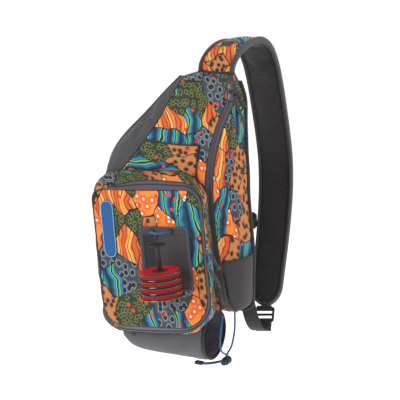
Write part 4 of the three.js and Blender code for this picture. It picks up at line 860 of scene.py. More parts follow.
sewn = [i for i, (u, v) in grid_place.items()
        if min(abs(u - k) for k in range(5)) < 0.01 or 1 < u < 2 or v <= 0 or v >= 1 or sewn_down(u, v)]
moved = fill_cloth(shell, sewn, pressure=1.6, let_out=0.02, cap=5)
for index, (u, v) in grid_place.items():
    vertex = shell.data.vertices[index]
    if 1.47 < u < 1.53 and 0 <= v <= 1:
        vertex.co -= skin_normal(body_skin, u, v, Vector((0.5, -1, 0))) * 0.0012
    elif 0 < v < 1 and not 1 <= u <= 2:
        ripple = (noise.noise(Vector((u * 3.1, v * 9.0, 2.0)))
                  + 0.5 * noise.noise(Vector((u * 7.0, v * 21.0, 5.0))))
        if sewn_down(u, v):
            ripple = min(ripple, 0.0)
        edge = min(1.0, 6 * min(abs(u - round(u)), 0.5)) * min(1.0, 14 * min(v, 1 - v))
        vertex.co += skin_normal(body_skin, u, v, Vector((0.5, -1, 0))) * 0.0013 * ripple * edge
print("the compartment's cloth moved", round(moved * 1000, 1), "mm")
cut_pieces = cut_panels(shell, CLOTH_WALL)
for finish, name, slot, nodes in (
    (PRINT_SIDE, "right_gusset_cloth", "printed_cloth", ("right_gusset",)),
    (MAIN_TAPE, "main_zipper_tape", "coated_tape", ("main_zipper",)),
    (PRINT_FRONT, "front_panel_cloth", "printed_cloth", ("front_panel", "top_yoke")),
    (GREY_CLOTH, "left_wing_cloth", "grey_cloth", ("left_wing", "body_floor")),
):
    piece = cut_pieces[finish.name]
    piece.name = piece.data.name = name
    finish_piece(piece, slot, *nodes)
    print(name, "has", len(piece.data.polygons), "faces")

# %% [markdown]
# Every seam of the compartment shows as a narrow bound ridge. It is a round piping that
# runs along the seam's own line, so it hides the cut between two panels.

# %% Piping along the compartment's seams
def seam_line(u, v0, v1, count, lift):
    line = []
    for v in steps(v0, v1, count):
        inner_u, inner_v = min(3.99, max(0.01, u)), min(0.995, max(0.005, v))
        out = skin_normal(body_skin, inner_u, inner_v, Vector((0.4, -1, 0)))
        line.append(body_skin(u, v) + out * lift)
    return line


pipings = [
    run_tube("wing_seam_piping", seam_line(3, 0.0, 1.0, 70, 0.1), 0.9, DARK_BINDING),
    run_tube("zipper_piping_right", seam_line(1, 0.0, 1.0, 70, 0.0), 0.6, DARK_BINDING),
    run_tube("zipper_piping_left", seam_line(2, 0.0, 1.0, 70, 0.0), 0.6, DARK_BINDING),
]
ROOT_SEAM_Z = 458.5


def boxy(low, high, wave):
    """A place between low and high that lingers at both, so that a round turn comes out boxy."""
    return (low + high) / 2 + math.copysign(abs(wave) ** 0.4, wave) * (high - low) / 2


root_ring = []
for u in steps(0, 1, 40)[:-1]:
    turn = 2 * math.pi * u
    root_ring.append(Vector((boxy(*YOKE_TOP["x"], math.cos(turn)), boxy(*YOKE_TOP["y"], math.sin(turn)),
                             ROOT_SEAM_Z)))
pipings.append(run_tube("strap root seam", root_ring, 1.3, DARK_BINDING, closed=True))
piping = join_pieces("compartment_piping", pipings)
finish_piece(piping, "binding_tape")

groove = run_tube("main_zipper_coil", seam_line(1.5, 0.01, 0.99, 120, -0.9), 0.7, ZIP_GROOVE)
finish_piece(groove, "coated_tape")
print("piping has", len(piping.data.polygons), "faces")

# %% [markdown]
# The box pocket has a domed face with round corners, and a side wall that runs back to the
# compartment all the way round. The face leans a few degrees. The wall is one closed sheet:
# its first rows are the zipper's coated band, the rest is printed cloth, and dark cloth on
# the hinge side. Its last row is found by looking back onto the compartment's cloth.

# %% Surfaces of the pocket
POCKET_X, POCKET_Z, POCKET_STAND = 12.0, 188.0, 120.0
POCKET_W, POCKET_H, POCKET_TILT = 182.0, 214.0, math.radians(6)
SEAT_W, SEAT_H = 195.0, 250.0
FACE = {"w": POCKET_W / 2, "h": POCKET_H / 2, "tilt": POCKET_TILT, "x": POCKET_X, "z": POCKET_Z,
        "radii": [share * POCKET_W for share in (0.19, 0.10, 0.13, 0.28)]}
SEAT = {"w": SEAT_W / 2, "h": SEAT_H / 2, "tilt": math.radians(5.5), "x": -7.0, "z": 187.0,
        "radii": [share * SEAT_W for share in (0.20, 0.23, 0.25, 0.28)]}

# places round the pocket: the hinge side's two ends, and where the zipper's tape starts and ends
HINGE_END, HINGE_START = 1.02, 3.97
TAPE_START, TAPE_END = 1.28, 3.88
BAND_ROWS, HINGE_SHARE = 0.4, 0.05
BAND_AT = [HINGE_END, 1.27, 1.38, 1.52, 1.8, 2.2, 2.6, 3.0, 3.3, 3.6, 3.85, HINGE_START]
BAND_SHARE = [0.03, 0.05, 0.22, 0.34, 0.24, 0.14, 0.13, 0.16, 0.4, 0.6, 0.4, 0.08]
SLEEVE_R, SLEEVE_Y, SLEEVE_Z, SLEEVE_MOUTH, SLEEVE_LONG = 39.5, -50.0, 58.2, 80.0, 146.0


def outline_point(outline, u):
    """u: 0 the bottom left corner, 1 top left, 2 top right, 3 bottom right."""
    u = u % 4
    side = int(u)
    f = u - side
    signs = ((-1, -1), (-1, 1), (1, 1), (1, -1))

    def corner(k, degrees):
        r = outline["radii"][k]
        angle = math.radians(degrees)
        return (signs[k][0] * (outline["w"] - r) + r * math.cos(angle),
                signs[k][1] * (outline["h"] - r) + r * math.sin(angle))

    middle = (225, 135, 45, -45)
    after = (side + 1) % 4
    if f < 0.25:
        p = corner(side, middle[side] - 180 * f)
    elif f > 0.75:
        p = corner(after, middle[after] + 180 * (1 - f))
    else:
        start, end = corner(side, middle[side] - 45), corner(after, middle[after] + 45)
        t = (f - 0.25) / 0.5
        p = (start[0] + (end[0] - start[0]) * t, start[1] + (end[1] - start[1]) * t)
    c, s = math.cos(outline["tilt"]), math.sin(outline["tilt"])
    return outline["x"] + p[0] * c - p[1] * s, outline["z"] + p[0] * s + p[1] * c


def face_surface(a, b, lift=0.0):
    """A point of the domed face, a across and b up in its own leaning frame."""
    crown = max(0, 1 - (a / (POCKET_W / 2)) ** 2) * max(0, 1 - (b / (POCKET_H / 2)) ** 2)
    c, s = math.cos(POCKET_TILT), math.sin(POCKET_TILT)
    return Vector((POCKET_X + a * c - b * s, -POCKET_STAND - 6 * crown - lift, POCKET_Z + a * s + b * c))


def skin_forward(x, z):
    level = min(BODY_TOP, max(BODY_BOTTOM + 0.5, z))
    hit = skin_tree.ray_cast(place(x, -400, level), Vector((0, 1, 0)))
    body = hit[0].y * 1000 + HANGING_POINT.y if hit[0] else BACK_Y
    round_part = (SLEEVE_R + 0.5) ** 2 - (z - SLEEVE_Z) ** 2
    sleeve = SLEEVE_Y - math.sqrt(round_part) if round_part > 0 else 0
    low = -0.96 * BODY_DEPTH if z < BODY_BOTTOM + 22 else -0.8 * BODY_DEPTH
    return min(body, sleeve, low)


def smooth_step(x, low, high):
    t = min(1, max(0, (x - low) / (high - low)))
    return t * t * (3 - 2 * t)


def pocket_side(u, v):
    face, back = outline_point(FACE, u), outline_point(SEAT, u)
    middle = ((FACE["x"] + SEAT["x"]) / 2, (FACE["z"] + SEAT["z"]) / 2)
    inward = Vector((middle[0] - back[0], middle[1] - back[1])).normalized()
    depths = []
    for inset in (0, 2, 4, 8):
        x, z = back[0] + inset * inward.x, back[1] + inset * inward.y
        beside_patch = smooth_step(x, PATCH_RIGHT + 1, PATCH_RIGHT + 8)
        patch_room = 2.8 * smooth_step(z, PATCH_FOOT - 9, PATCH_FOOT - 1) * (1 - beside_patch)
        depths.append(skin_forward(x, z) - patch_room)
    x = face[0] + (back[0] - face[0]) * v
    z = face[1] + (back[1] - face[1]) * v
    swell = 5 * math.sin(math.pi * v)
    out = Vector((x - middle[0], z - middle[1])).normalized() * swell
    y = -POCKET_STAND + (min(depths) - 0.8 + POCKET_STAND) * v
    return Vector((x + out.x, y, z + out.y))


def band_share(u):
    return smooth_value(BAND_AT, BAND_SHARE, min(HINGE_START, max(HINGE_END, u)))


def pocket_wall(u, t):
    share = band_share(u) if u % 4 > HINGE_END else HINGE_SHARE
    if t < BAND_ROWS:
        return pocket_side(u, share * t / BAND_ROWS)
    return pocket_side(u, share + (1 - share) * (t - BAND_ROWS) / (1 - BAND_ROWS))


print("the pocket's face stands", POCKET_STAND, "mm in front of the back")

# %% [markdown]
# The pocket's wall is a closed ring of cloth with the zipper's band along its front. It could
# be four boards, but sewn cloth goes round the corners in one piece, so it is laid and filled
# as one sheet. Each face takes its finish by its place round the pocket, and the ring is cut
# into panels where the finish changes.

# %% Pocket wall
wall_us = spread((0, HINGE_END, 34), (HINGE_END, TAPE_START, 10), (TAPE_START, 2, 26), (2, 3, 38),
                 (3, HINGE_START, 36), (HINGE_START, 4, 2))
wall_ts = spread((0, BAND_ROWS, 5), (BAND_ROWS, 1, 10))
wall = lay_sheet("pocket wall", pocket_wall, wall_us, wall_ts, closed=True)
bottom_face = min(wall.data.polygons, key=lambda p: p.center.z)
if bottom_face.normal.z > 0:
    wall.data.flip_normals()

wall_place = grid_places(wall, wall_us, wall_ts)
uv = wall.data.uv_layers.active.data
for finish in (COATED_TAPE, PRINT_POCKET, DARK_CLOTH_AND_SHADE):
    wall.data.materials.append(finish)
for polygon in wall.data.polygons:
    loops = [uv[loop].uv for loop in polygon.loop_indices]
    i = int(sum(m[0] for m in loops) / len(loops) * (len(wall_us) - 1))
    j = sum(m[1] for m in loops) / len(loops) * (len(wall_ts) - 1)
    u = (wall_us[i] + wall_us[min(i + 1, len(wall_us) - 1)]) / 2
    hinge_side = u < HINGE_END or u > HINGE_START
    zipped = j < 5 and TAPE_START < u < TAPE_END
    polygon.material_index = 2 if hinge_side else (0 if zipped else 1)

sewn = [i for i, (u, t) in wall_place.items() if t == 1 or t < BAND_ROWS + 0.01]
moved = fill_cloth(wall, sewn, pressure=1.0, let_out=0.025, cap=3.5)
print("the pocket wall moved", round(moved * 1000, 1), "mm")
cut_pieces = cut_panels(wall, CLOTH_WALL)
for finish, name, slot, nodes in (
    (COATED_TAPE, "pocket_zipper_tape", "coated_tape", ("pocket_zip_band",)),
    (PRINT_POCKET, "pocket_wall_cloth", "printed_cloth",
     ("pocket_top_gusset", "pocket_right_gusset", "pocket_bottom_gusset")),
    (DARK_CLOTH_AND_SHADE, "pocket_hinge_cloth", "grey_cloth", ("pocket_left_gusset",)),
):
    piece = cut_pieces[finish.name]
    piece.name = piece.data.name = name
    finish_piece(piece, slot, *nodes)

# %% [markdown]
# A patch or a face is a disc of cloth: rings of points that shrink to the middle. One helper
# lays such a disc on the domed face from any outline, and the pocket's face, the blue label
# and the tool dock's border and window are all made with it.

# %% Discs of cloth on the pocket's face
def lay_disc(name, outline, middle, shares, lift_at, count):
    def point(u, r):
        a, b = outline(u)
        a, b = middle[0] + (a - middle[0]) * r, middle[1] + (b - middle[1]) * r
        return face_surface(a, b, lift_at(a, b, r))
    piece = lay_sheet(name, point, steps(0, 1, count), shares, closed=True)
    if sum(p.normal.y for p in piece.data.polygons) > 0:
        piece.data.flip_normals()
    return piece


def face_outline(u):
    x, z = outline_point(FACE, 4 * u)
    c, s = math.cos(POCKET_TILT), math.sin(POCKET_TILT)
    dx, dz = x - POCKET_X, z - POCKET_Z
    trim = 1 - 1.6 / math.hypot(dx, dz)
    return trim * (dx * c + dz * s), trim * (dz * c - dx * s)


def rounded_outline(width, height, radius, centre):
    def outline(u):
        turn = 2 * math.pi * u
        c, s = math.cos(turn), math.sin(turn)
        reach = min(width / 2 / max(abs(c), 1e-6), height / 2 / max(abs(s), 1e-6))
        qx = min(max(c * reach, radius - width / 2), width / 2 - radius)
        qz = min(max(s * reach, radius - height / 2), height / 2 - radius)
        out = Vector((c * reach - qx, s * reach - qz)).normalized() * radius
        return centre[0] + qx + out.x, centre[1] + qz + out.y
    return outline


LABEL_MIDDLE, LABEL_W, LABEL_H = (-67.0, 46.0), 23.0, 88.0
DOCK_MIDDLE, DOCK_W, DOCK_H = (29.0, 1.5), 83.0, 100.0
FLAT_PARTS = [(LABEL_MIDDLE, 18, 50), (DOCK_MIDDLE, 47, 56)]
PINNED_PARTS = [(LABEL_MIDDLE, 16, 48), (DOCK_MIDDLE, 46, 54)]


def lies_in(a, b, parts):
    """Each part is its middle and how far it reaches from there, across and up."""
    return any(abs(a - middle[0]) < across and abs(b - middle[1]) < up for middle, across, up in parts)


def face_softness(a, b, r):
    low = noise.noise(Vector((a * 0.03, b * 0.025, 1.0))) * 1.2
    soft = (low + noise.noise(Vector((a * 0.08, b * 0.08, 4.0))) * 0.5) * (1 - r ** 3)
    return min(soft, 0.2) if lies_in(a, b, FLAT_PARTS) else soft


face = lay_disc("pocket_face_cloth", face_outline, (0, 0), steps(0, 1, 20), face_softness, 144)
rim = []
for vertex in face.data.vertices:
    spot = vertex.co * 1000 + HANGING_POINT - Vector((POCKET_X, 0, POCKET_Z))
    a = spot.x * math.cos(POCKET_TILT) + spot.z * math.sin(POCKET_TILT)
    b = spot.z * math.cos(POCKET_TILT) - spot.x * math.sin(POCKET_TILT)
    at_edge = abs(vertex.co.y - place(0, -POCKET_STAND, 0).y) < 0.00001
    if at_edge or lies_in(a, b, PINNED_PARTS):
        rim.append(vertex.index)
moved = fill_cloth(face, rim, pressure=0.8, let_out=0.008, cap=3)
face.data.materials.append(PRINT_POCKET)
thicken(face, CLOTH_WALL, levels=1)
finish_piece(face, "printed_cloth", "pocket_face")

wall_piping = join_pieces("pocket_piping", [
    run_tube("face piping", [pocket_side(u, 0) for u in steps(TAPE_START - 0.02, 4.03, 130)], 1.9, BINDING),
    run_tube("corner edge", [pocket_side(u, 0) for u in steps(1.0, TAPE_START, 14)], 1.1, DARK_BINDING),
    run_tube("hinge edge", [pocket_side(u, 0) + Vector((0.6, 0.6, 0)) for u in steps(0.03, 1.0, 40)], 3.4,
             DARK_BINDING),
    run_tube("band piping", [pocket_wall(u, BAND_ROWS) for u in steps(TAPE_START, TAPE_END, 130)], 0.8,
             DARK_BINDING),
    run_tube("seat piping", [pocket_side(u, 0.995) for u in steps(0, 4, 160)][:-1], 1.2, DARK_BINDING,
             closed=True),
])
finish_piece(wall_piping, "binding_tape")
slit_line = []
for u in steps(TAPE_START + 0.04, TAPE_END - 0.02, 130):
    p = pocket_side(u, band_share(u) * 0.5)
    slit_line.append(p + Vector((p.x - POCKET_X, 0, p.z - POCKET_Z)).normalized() * 0.5)
slit = run_tube("pocket_zipper_coil", slit_line, 0.8, ZIP_GROOVE)
finish_piece(slit, "coated_tape")
print("the pocket's face moved", round(moved * 1000, 1), "mm")

# %% [markdown]
# Above the box pocket a flat pocket is sewn on, open at its top. A plain rectangle would do
# from afar. Here it follows the compartment's cloth and its upper edge sags a little between
# the seams, as an open edge does. A tape binds the top and the right side.

# %% Patch pocket on the upper front
def patch_pocket(u, v):
    z = PATCH_FOOT + PATCH_TALL * v
    corners, _ = body_corners((z - BODY_BOTTOM) / BODY_HEIGHT)
    x = PATCH_RIGHT + (corners[3].x + 3 - PATCH_RIGHT) * u
    sag = 1.6 * math.sin(math.pi * u) * v ** 3
    return Vector((x, skin_forward(x, z) - 2.6 - sag, z - 1.5 * math.sin(math.pi * u) * v ** 4))


patch = lay_sheet("patch_pocket_cloth", patch_pocket, steps(0.01, 0.99, 34), steps(0.01, 0.99, 16),
                  outward=(0, -1, 0))
patch.data.materials.append(PRINT_PATCH)
thicken(patch, THIN_WALL)
finish_piece(patch, "printed_cloth", "stash_panel")
hem_sink = Vector((0, 0.9, 0))
patch_hem = join_pieces("patch_pocket_hem", [
    run_tube("top hem", [patch_pocket(u, 1.0) + hem_sink for u in steps(0, 1, 40)], 1.5, DARK_BINDING),
    run_tube("side hem", [patch_pocket(0.0, v) + hem_sink for v in steps(0, 1, 16)], 1.3, DARK_BINDING),
])
finish_piece(patch_hem, "binding_tape")
print("patch pocket's hem is", len(patch_hem.data.polygons), "faces")

# %% [markdown]
# The blue label is moulded rubber with a pale raised edge. The tool dock is a grey patch
# whose window lies lower than its hem, and a row of stitches runs round the hem. Stitches
# could be a bump in the finish, but then they cast no shadow. Instead, one is modelled as a
# short rounded bar and copied along a line.

# %% Label, dock and stitches
STITCH_LONG, STITCH_GAP, STITCH_RADIUS = 2.6, 1.4, 0.42


def stitch_along(name, points, finish):
    """Copies one rounded stitch along a line of points, given in the bag's millimetres."""
    deselect()
    bpy.ops.mesh.primitive_cylinder_add(vertices=6, radius=STITCH_RADIUS / 1000,
                                        depth=STITCH_LONG / 1000, location=(0, 0, 0))
    first = bpy.context.object
    bpy.ops.object.mode_set(mode="EDIT")
    bpy.ops.mesh.select_all(action="SELECT")
    bpy.ops.mesh.bevel(offset=STITCH_RADIUS * 0.4 / 1000, segments=1)
    bpy.ops.object.mode_set(mode="OBJECT")
    path = [place(*p) for p in points]
    copies, carried = [], 0.0
    for a, b in zip(path, path[1:]):
        run = (b - a).length
        while carried < run:
            spot = a + (b - a) * (carried / run)
            copy = first.data.copy()
            copy.transform(Matrix.Translation(spot) @ (b - a).to_track_quat("Z", "Y").to_matrix().to_4x4())
            copies.append(bpy.data.objects.new(name, copy))
            scene.collection.objects.link(copies[-1])
            carried += (STITCH_LONG + STITCH_GAP) / 1000
        carried -= run
    bpy.data.objects.remove(first)
    row = join_pieces(name, copies)
    row.data.materials.append(finish)
    return row


LABEL_LIFT, LABEL_ROUND = 2.2, 10.0
label_edge = rounded_outline(LABEL_W, LABEL_H, LABEL_ROUND, LABEL_MIDDLE)


def label_lift(a, b, r):
    """The label is flat and drops a little over its last tenth."""
    return LABEL_LIFT - 6.0 * max(0, r - 0.9)


label = lay_disc("label_patch_rubber", label_edge, LABEL_MIDDLE, spread((0, 0.9, 6), (0.9, 1, 2)),
                 label_lift, 64)
label.data.materials.append(LABEL_RUBBER)
thicken(label, 1.4)
finish_piece(label, "blue_patch", "label_patch")
rim_line = [label_edge(u) for u in steps(0, 1, 64)][:-1]
label_rim = run_tube("label_rim", [face_surface(LABEL_MIDDLE[0] + (a - LABEL_MIDDLE[0]) * 0.93,
                                                LABEL_MIDDLE[1] + (b - LABEL_MIDDLE[1]) * 0.98,
                                                LABEL_LIFT)
                                   for a, b in rim_line], 0.6, LABEL_EDGE, closed=True)
finish_piece(label_rim, "blue_patch")

WINDOW_DROP = 17.0
WINDOW_MIDDLE = (DOCK_MIDDLE[0], DOCK_MIDDLE[1] - WINDOW_DROP)
dock_edge = rounded_outline(DOCK_W, DOCK_H, 4, DOCK_MIDDLE)
border_shares = spread((0.82, 0.86, 2), (0.86, 0.97, 4), (0.97, 1, 2))


def border_lift(a, b, r):
    """The hem stands 3.4 mm up and drops to both of its edges."""
    return 3.4 - 1.2 * max(0, (r - 0.97) / 0.03) - 1.2 * max(0, (0.86 - r) / 0.04)


border = lay_disc("dock_border", dock_edge, WINDOW_MIDDLE, border_shares, border_lift, 112)
border.data.materials.append(GREY_CLOTH)
thicken(border, CLOTH_WALL)
window = lay_disc("dock_window", dock_edge, WINDOW_MIDDLE, steps(0, 0.84, 12), lambda a, b, r: 1.9, 112)
for finish in (DARK_CLOTH_AND_SHADE, GREY_CLOTH):
    window.data.materials.append(finish)
# The window's left part takes the dark cloth as painted shade, the shade that falls in the recess under the
# hem; the rest of the window is grey cloth.
shade_edge_x = place(POCKET_X + DOCK_MIDDLE[0] - 14, 0, 0).x
for polygon in window.data.polygons:
    polygon.material_index = 0 if polygon.center.x < shade_edge_x else 1
thicken(window, 1.2)
finish_piece(border, "grey_cloth", "dock_patch")
finish_piece(window, "grey_cloth")
hem_line = []
for u in steps(0, 1, 112):
    a, b = dock_edge(u)
    hem_line.append(face_surface(WINDOW_MIDDLE[0] + (a - WINDOW_MIDDLE[0]) * 0.95,
                                 WINDOW_MIDDLE[1] + (b - WINDOW_MIDDLE[1]) * 0.965, 3.5))
finish_piece(stitch_along("dock_stitches", hem_line, THREAD), "grey_cloth")
print("the label and the dock are sewn on")

# %% [markdown]
# Spools, post, lock and sleeve binding are round parts, as if turned on a lathe. Their
# half profile is drawn as a line and spun round the axis, which is the quickest way and
# keeps every ring exact. Each spool turns on the post, so each one rides on its own body.

# %% Turned parts
def turn_part(name, profile, frame_matrix, finish, count=48, closed_profile=False):
    """Spins pairs of radius and height round Z, then sets the part in its frame."""
    data = bpy.data.meshes.new(name)
    ring = [(r / 1000, 0, z / 1000) for r, z in profile]
    edges = [(k, k + 1) for k in range(len(ring) - 1)]
    if closed_profile:
        edges.append((len(ring) - 1, 0))
    data.from_pydata(ring, edges, [])
    part = bpy.data.objects.new(name, data)
    scene.collection.objects.link(part)
    make_active(part)
    bpy.ops.object.mode_set(mode="EDIT")
    bpy.ops.mesh.select_all(action="SELECT")
    bpy.ops.mesh.spin(steps=count, angle=2 * math.pi, center=(0, 0, 0), axis=(0, 0, 1))
    bpy.ops.mesh.select_all(action="SELECT")
    bpy.ops.mesh.remove_doubles(threshold=VERY_CLOSE)
    bpy.ops.mesh.normals_make_consistent(inside=False)
    bpy.ops.object.mode_set(mode="OBJECT")
    part.data.transform(frame_matrix)
    part.data.materials.append(finish)
    bpy.ops.object.shade_smooth_by_angle(angle=math.radians(35))
    return part


SPOOL_TILT = math.radians(-7)
SPOOL_AXIS = Vector((54.5, -162.37, 147.0))
SPOOLS, SPOOL_PITCH = 4, 10.0
CLEAR_RIM_FROM, HUB_UP_TO = 0.0296, 0.0125
POST_TOP = 92.5


def in_stack(height):
    spot = Matrix.Translation(place(*SPOOL_AXIS)) @ Matrix.Rotation(SPOOL_TILT, 4, "Y")
    return spot @ Matrix.Translation((0, 0, height / 1000))


cheek = [(4.1, 4.5), (12, 4.5), (13, 4.1), (24, 4.1), (25, 4.6), (29.4, 4.6), (30, 4.6), (32.2, 4.6),
         (33, 3.9), (32.6, 3.1), (30, 3.1), (25, 3.1)]
spool_profile = [(r, -z) for r, z in cheek] + list(reversed(cheek))
WINDING_ROWS = 8
wound = [(24.9, -2.9)]
for row in range(WINDING_ROWS):
    low = -2.9 + row * 5.8 / WINDING_ROWS
    wound += [(29.6, low + 0.06), (30.3, low + 0.36), (29.6, low + 0.66)]
wound += [(24.9, 2.9)]
for k in range(SPOOLS):
    body = f"spool_{k + 1}_turning"
    axis_spot = in_stack((k + 0.5) * SPOOL_PITCH)
    spool = turn_part(f"spool_{k + 1}_shell", spool_profile, axis_spot, RED_PLASTIC, 56, True)
    spool.data.materials.append(SMOKE_PLASTIC)
    away = axis_spot.inverted()
    for polygon in spool.data.polygons:
        p = away @ polygon.center
        reach = math.hypot(p.x, p.y)
        if reach > CLEAR_RIM_FROM or reach < HUB_UP_TO:
            polygon.material_index = 1
    finish_piece(spool, "red_plastic", f"spool_{k + 1}", body=body)
    winding = turn_part(f"spool_{k + 1}_winding", wound, axis_spot, LINE, 56, True)
    finish_piece(winding, "red_plastic", body=body)

post_profile = [(0, -2.7), (8.2, -2.7), (8.5, -2.2), (8.5, -0.2), (3.5, 0.1), (3.5, 75), (4.4, 76.6),
                (11.4, 76.9), (12, 77.5), (12, 78.6), (11.4, 79), (3, 79.3), (1.9, 80.4), (1.7, 87.4),
                (3.2, 88.8), (3.4, 90), (3.2, 92), (2.2, POST_TOP), (0, POST_TOP)]
post = turn_part("spool_post_turned", post_profile, in_stack(0), BLACK_PLASTIC, 32)
finish_piece(post, "black_plastic", "spool_post")

LOCK_SPOT = (102, -38, 17)
lock_frame = Matrix.Translation(place(*LOCK_SPOT)) @ Matrix.Rotation(math.pi / 2, 4, "X")
lock_profile = [(0, 0), (5, 0), (6.1, 0.5), (6.5, 1.6), (6.5, 4), (5.9, 4.6), (5.9, 7), (6.5, 7.6),
                (6.5, 11.2), (6, 11.8), (4.9, 12.2), (4.9, 18), (4.4, 18.8), (3.4, 19), (0, 19)]
lock = turn_part("cord_lock_turned", lock_profile, lock_frame, BLACK_PLASTIC, 32)
finish_piece(lock, "black_plastic", "cord_lock")
print("turned", SPOOLS, "spools, a post and a cord lock")

# %% [markdown]
# The sleeve is a tube of grey cloth along the bag's foot, closed and gathered at its
# left end and open at its right. It is one closed sheet, let out a little and filled so that
# it wrinkles, and then given a wall, so that its mouth has an inside as well.

# %% Sleeve
SLEEVE_BACK = [0, 0.35, 0.7, 0.84, 0.93, 0.98, 1.0]
SLEEVE_WIDE = [1, 1, 1, 0.95, 0.82, 0.62, 0.02]


def sleeve_surface(a, s):
    r = SLEEVE_R * smooth_value(SLEEVE_BACK, SLEEVE_WIDE, s)
    angle = 2 * math.pi * a
    fold = 0.9 * math.sin(angle * 3 + s * 5) * math.sin(math.pi * s) * (1 if math.sin(angle) < 0.3 else 0.3)
    return Vector((SLEEVE_MOUTH - SLEEVE_LONG * s, SLEEVE_Y + (r - max(0, fold)) * math.cos(angle),
                   SLEEVE_Z + (r - max(0, fold)) * math.sin(angle)))


sleeve_as, sleeve_ss = steps(0, 1, 52), spread((0, 0.84, 26), (0.84, 1, 12))
sleeve = lay_sheet("lower_sleeve_cloth", sleeve_surface, sleeve_as, sleeve_ss, closed=True)
front_face = min(sleeve.data.polygons, key=lambda p: p.center.y)
if front_face.normal.y > 0:
    sleeve.data.flip_normals()
mouth_x = place(SLEEVE_MOUTH, 0, 0).x
end_x = place(SLEEVE_MOUTH - SLEEVE_LONG * 0.97, 0, 0).x
top_z = place(0, 0, SLEEVE_Z + SLEEVE_R * 0.93).z
sewn = [v.index for v in sleeve.data.vertices
        if v.co.x > mouth_x - 0.001 or v.co.x < end_x or v.co.z > top_z]
moved = fill_cloth(sleeve, sewn, pressure=1.5, let_out=0.03, cap=3.0)
sleeve.data.materials.append(SLEEVE_CLOTH)
thicken(sleeve, CLOTH_WALL, levels=1)
finish_piece(sleeve, "grey_cloth", "bottle_sleeve")

mouth_spot = Matrix.Translation(place(SLEEVE_MOUTH, SLEEVE_Y, SLEEVE_Z))
mouth_frame = mouth_spot @ Matrix.Rotation(math.pi / 2, 4, "Y")
binding_profile = [(36.9, 0.6), (37.4, 0.2), (39.3, 0.2), (39.8, 0.7), (39.9, 3.6), (39.4, 4.3), (37.4, 4.3),
                   (36.9, 3.8)]
mouth_binding = turn_part("sleeve_mouth_binding", binding_profile, mouth_frame, DARK_BINDING, 64, True)
finish_piece(mouth_binding, "binding_tape", "sleeve_binding")
foot_piping = run_tube("sleeve_end_piping", [sleeve_surface(a, 0.93) for a in steps(0, 1, 48)][:-1], 0.9,
                       DARK_BINDING, closed=True)
finish_piece(foot_piping, "binding_tape")
print("the sleeve's cloth moved", round(moved * 1000, 1), "mm")

# %% [markdown]
# The strap is one padded band: printed cloth outside, open mesh inside, and a folded
# binding round both edges and the end. Its middle line rises from the yoke, turns over the
# shoulder and comes down behind the bag. The pad is a closed tube with a flat oval section
# that gets narrower at the end, filled with the binding's seams pinned.

# %% Middle line and width of the strap
STRAP_WIDE, BOUND, STRAP_END = 60.0, 5.0, 34.0
STRAP_PLACES = [
    (0, -0.0363, 0), (0, -0.0375, 0.0124), (0, -0.0211, 0.0282), (0, 0.0302, 0.0492),
    (0, 0.1329, 0.0729), (0, 0.29, 0.0913), (0, 0.4532, 0.0958), (0.0079, 0.6103, 0.0861),
    (0.0197, 0.7553, 0.0518), (0.0354, 0.864, -0.0153), (0.0591, 0.9305, -0.1021), (0.0945, 0.9728, -0.2126),
    (0.1339, 1, -0.3258), (0.1772, 0.997, -0.4389), (0.2205, 0.9426, -0.5495), (0.2677, 0.8399, -0.6547),
    (0.3189, 0.7009, -0.7626), (0.3661, 0.5559, -0.86), (0.4094, 0.429, -0.9416), (0.4409, 0.3444, -0.9995),
]
STRAP_DEEP, STRAP_DROP = 165.5, 380.0
strap_knots = [Vector((STRAP_ROOT.x + a * HALF_WIDTH, b * STRAP_DEEP, STRAP_ROOT.z + up * STRAP_DROP))
               for a, b, up in STRAP_PLACES]


def centripetal(knots, per_span):
    ends = [knots[0] * 2 - knots[1]] + knots + [knots[-1] * 2 - knots[-2]]
    line = []
    for k in range(1, len(ends) - 2):
        p0, p1, p2, p3 = ends[k - 1:k + 3]
        d0, d1, d2 = ((b - a).length ** 0.5 for a, b in ((p0, p1), (p1, p2), (p2, p3)))
        m1 = ((p1 - p0) / d0 - (p2 - p0) / (d0 + d1) + (p2 - p1) / d1) * d1
        m2 = ((p2 - p1) / d1 - (p3 - p1) / (d1 + d2) + (p3 - p2) / d2) * d1
        for j in range(per_span):
            t = j / per_span
            line.append(p1 * (2 * t ** 3 - 3 * t * t + 1) + m1 * (t ** 3 - 2 * t * t + t)
                        + p2 * (3 * t * t - 2 * t ** 3) + m2 * (t ** 3 - t * t))
    return line + [knots[-1].copy()]


strap_line = centripetal(strap_knots, 24)
strap_runs = [0.0]
for a, b in zip(strap_line, strap_line[1:]):
    strap_runs.append(strap_runs[-1] + (b - a).length)
STRAP_LONG = strap_runs[-1]
WIDE_AT, WIDE = [0, 0.08, 0.2, 0.35, 0.6, 0.8, 1], [0.97, 0.98, 1, 1, 0.98, 0.92, 0.86]
ROLL = [0, 4, 7, 3, 0, 0, 0]


def strap_spot(share):
    run = min(STRAP_LONG, max(0.0, share * STRAP_LONG))
    k = next((i for i in range(1, len(strap_runs)) if strap_runs[i] >= run), len(strap_runs) - 1)
    t = (run - strap_runs[k - 1]) / (strap_runs[k] - strap_runs[k - 1])
    low, high = max(0, k - 2), min(len(strap_line) - 1, k + 1)
    return strap_line[k - 1].lerp(strap_line[k], t), (strap_line[high] - strap_line[low]).normalized()


def strap_point(share, w, n):
    """w across from the strap's middle, n outward from its middle layer."""
    p, along = strap_spot(share)
    outward = Vector((1, 0, 0)).cross(along).normalized()
    across = along.cross(outward).normalized()
    if across.x < 0:
        across = -across
    roll = -math.radians(smooth_value(WIDE_AT, ROLL, share))
    across = Matrix.Rotation(roll, 3, along) @ across
    up = across.cross(along).normalized()
    if up.dot(outward) < 0:
        up = -up
    return p + across * w + up * n


def strap_half(distance, inset):
    full = smooth_value(WIDE_AT, WIDE, distance / STRAP_LONG) * STRAP_WIDE / 2 - inset
    left, end = STRAP_LONG - inset - distance, STRAP_END - inset
    if left >= end:
        return full
    t = 1 - max(0, left) / end
    return full * math.sqrt(max(0, 1 - t * t))


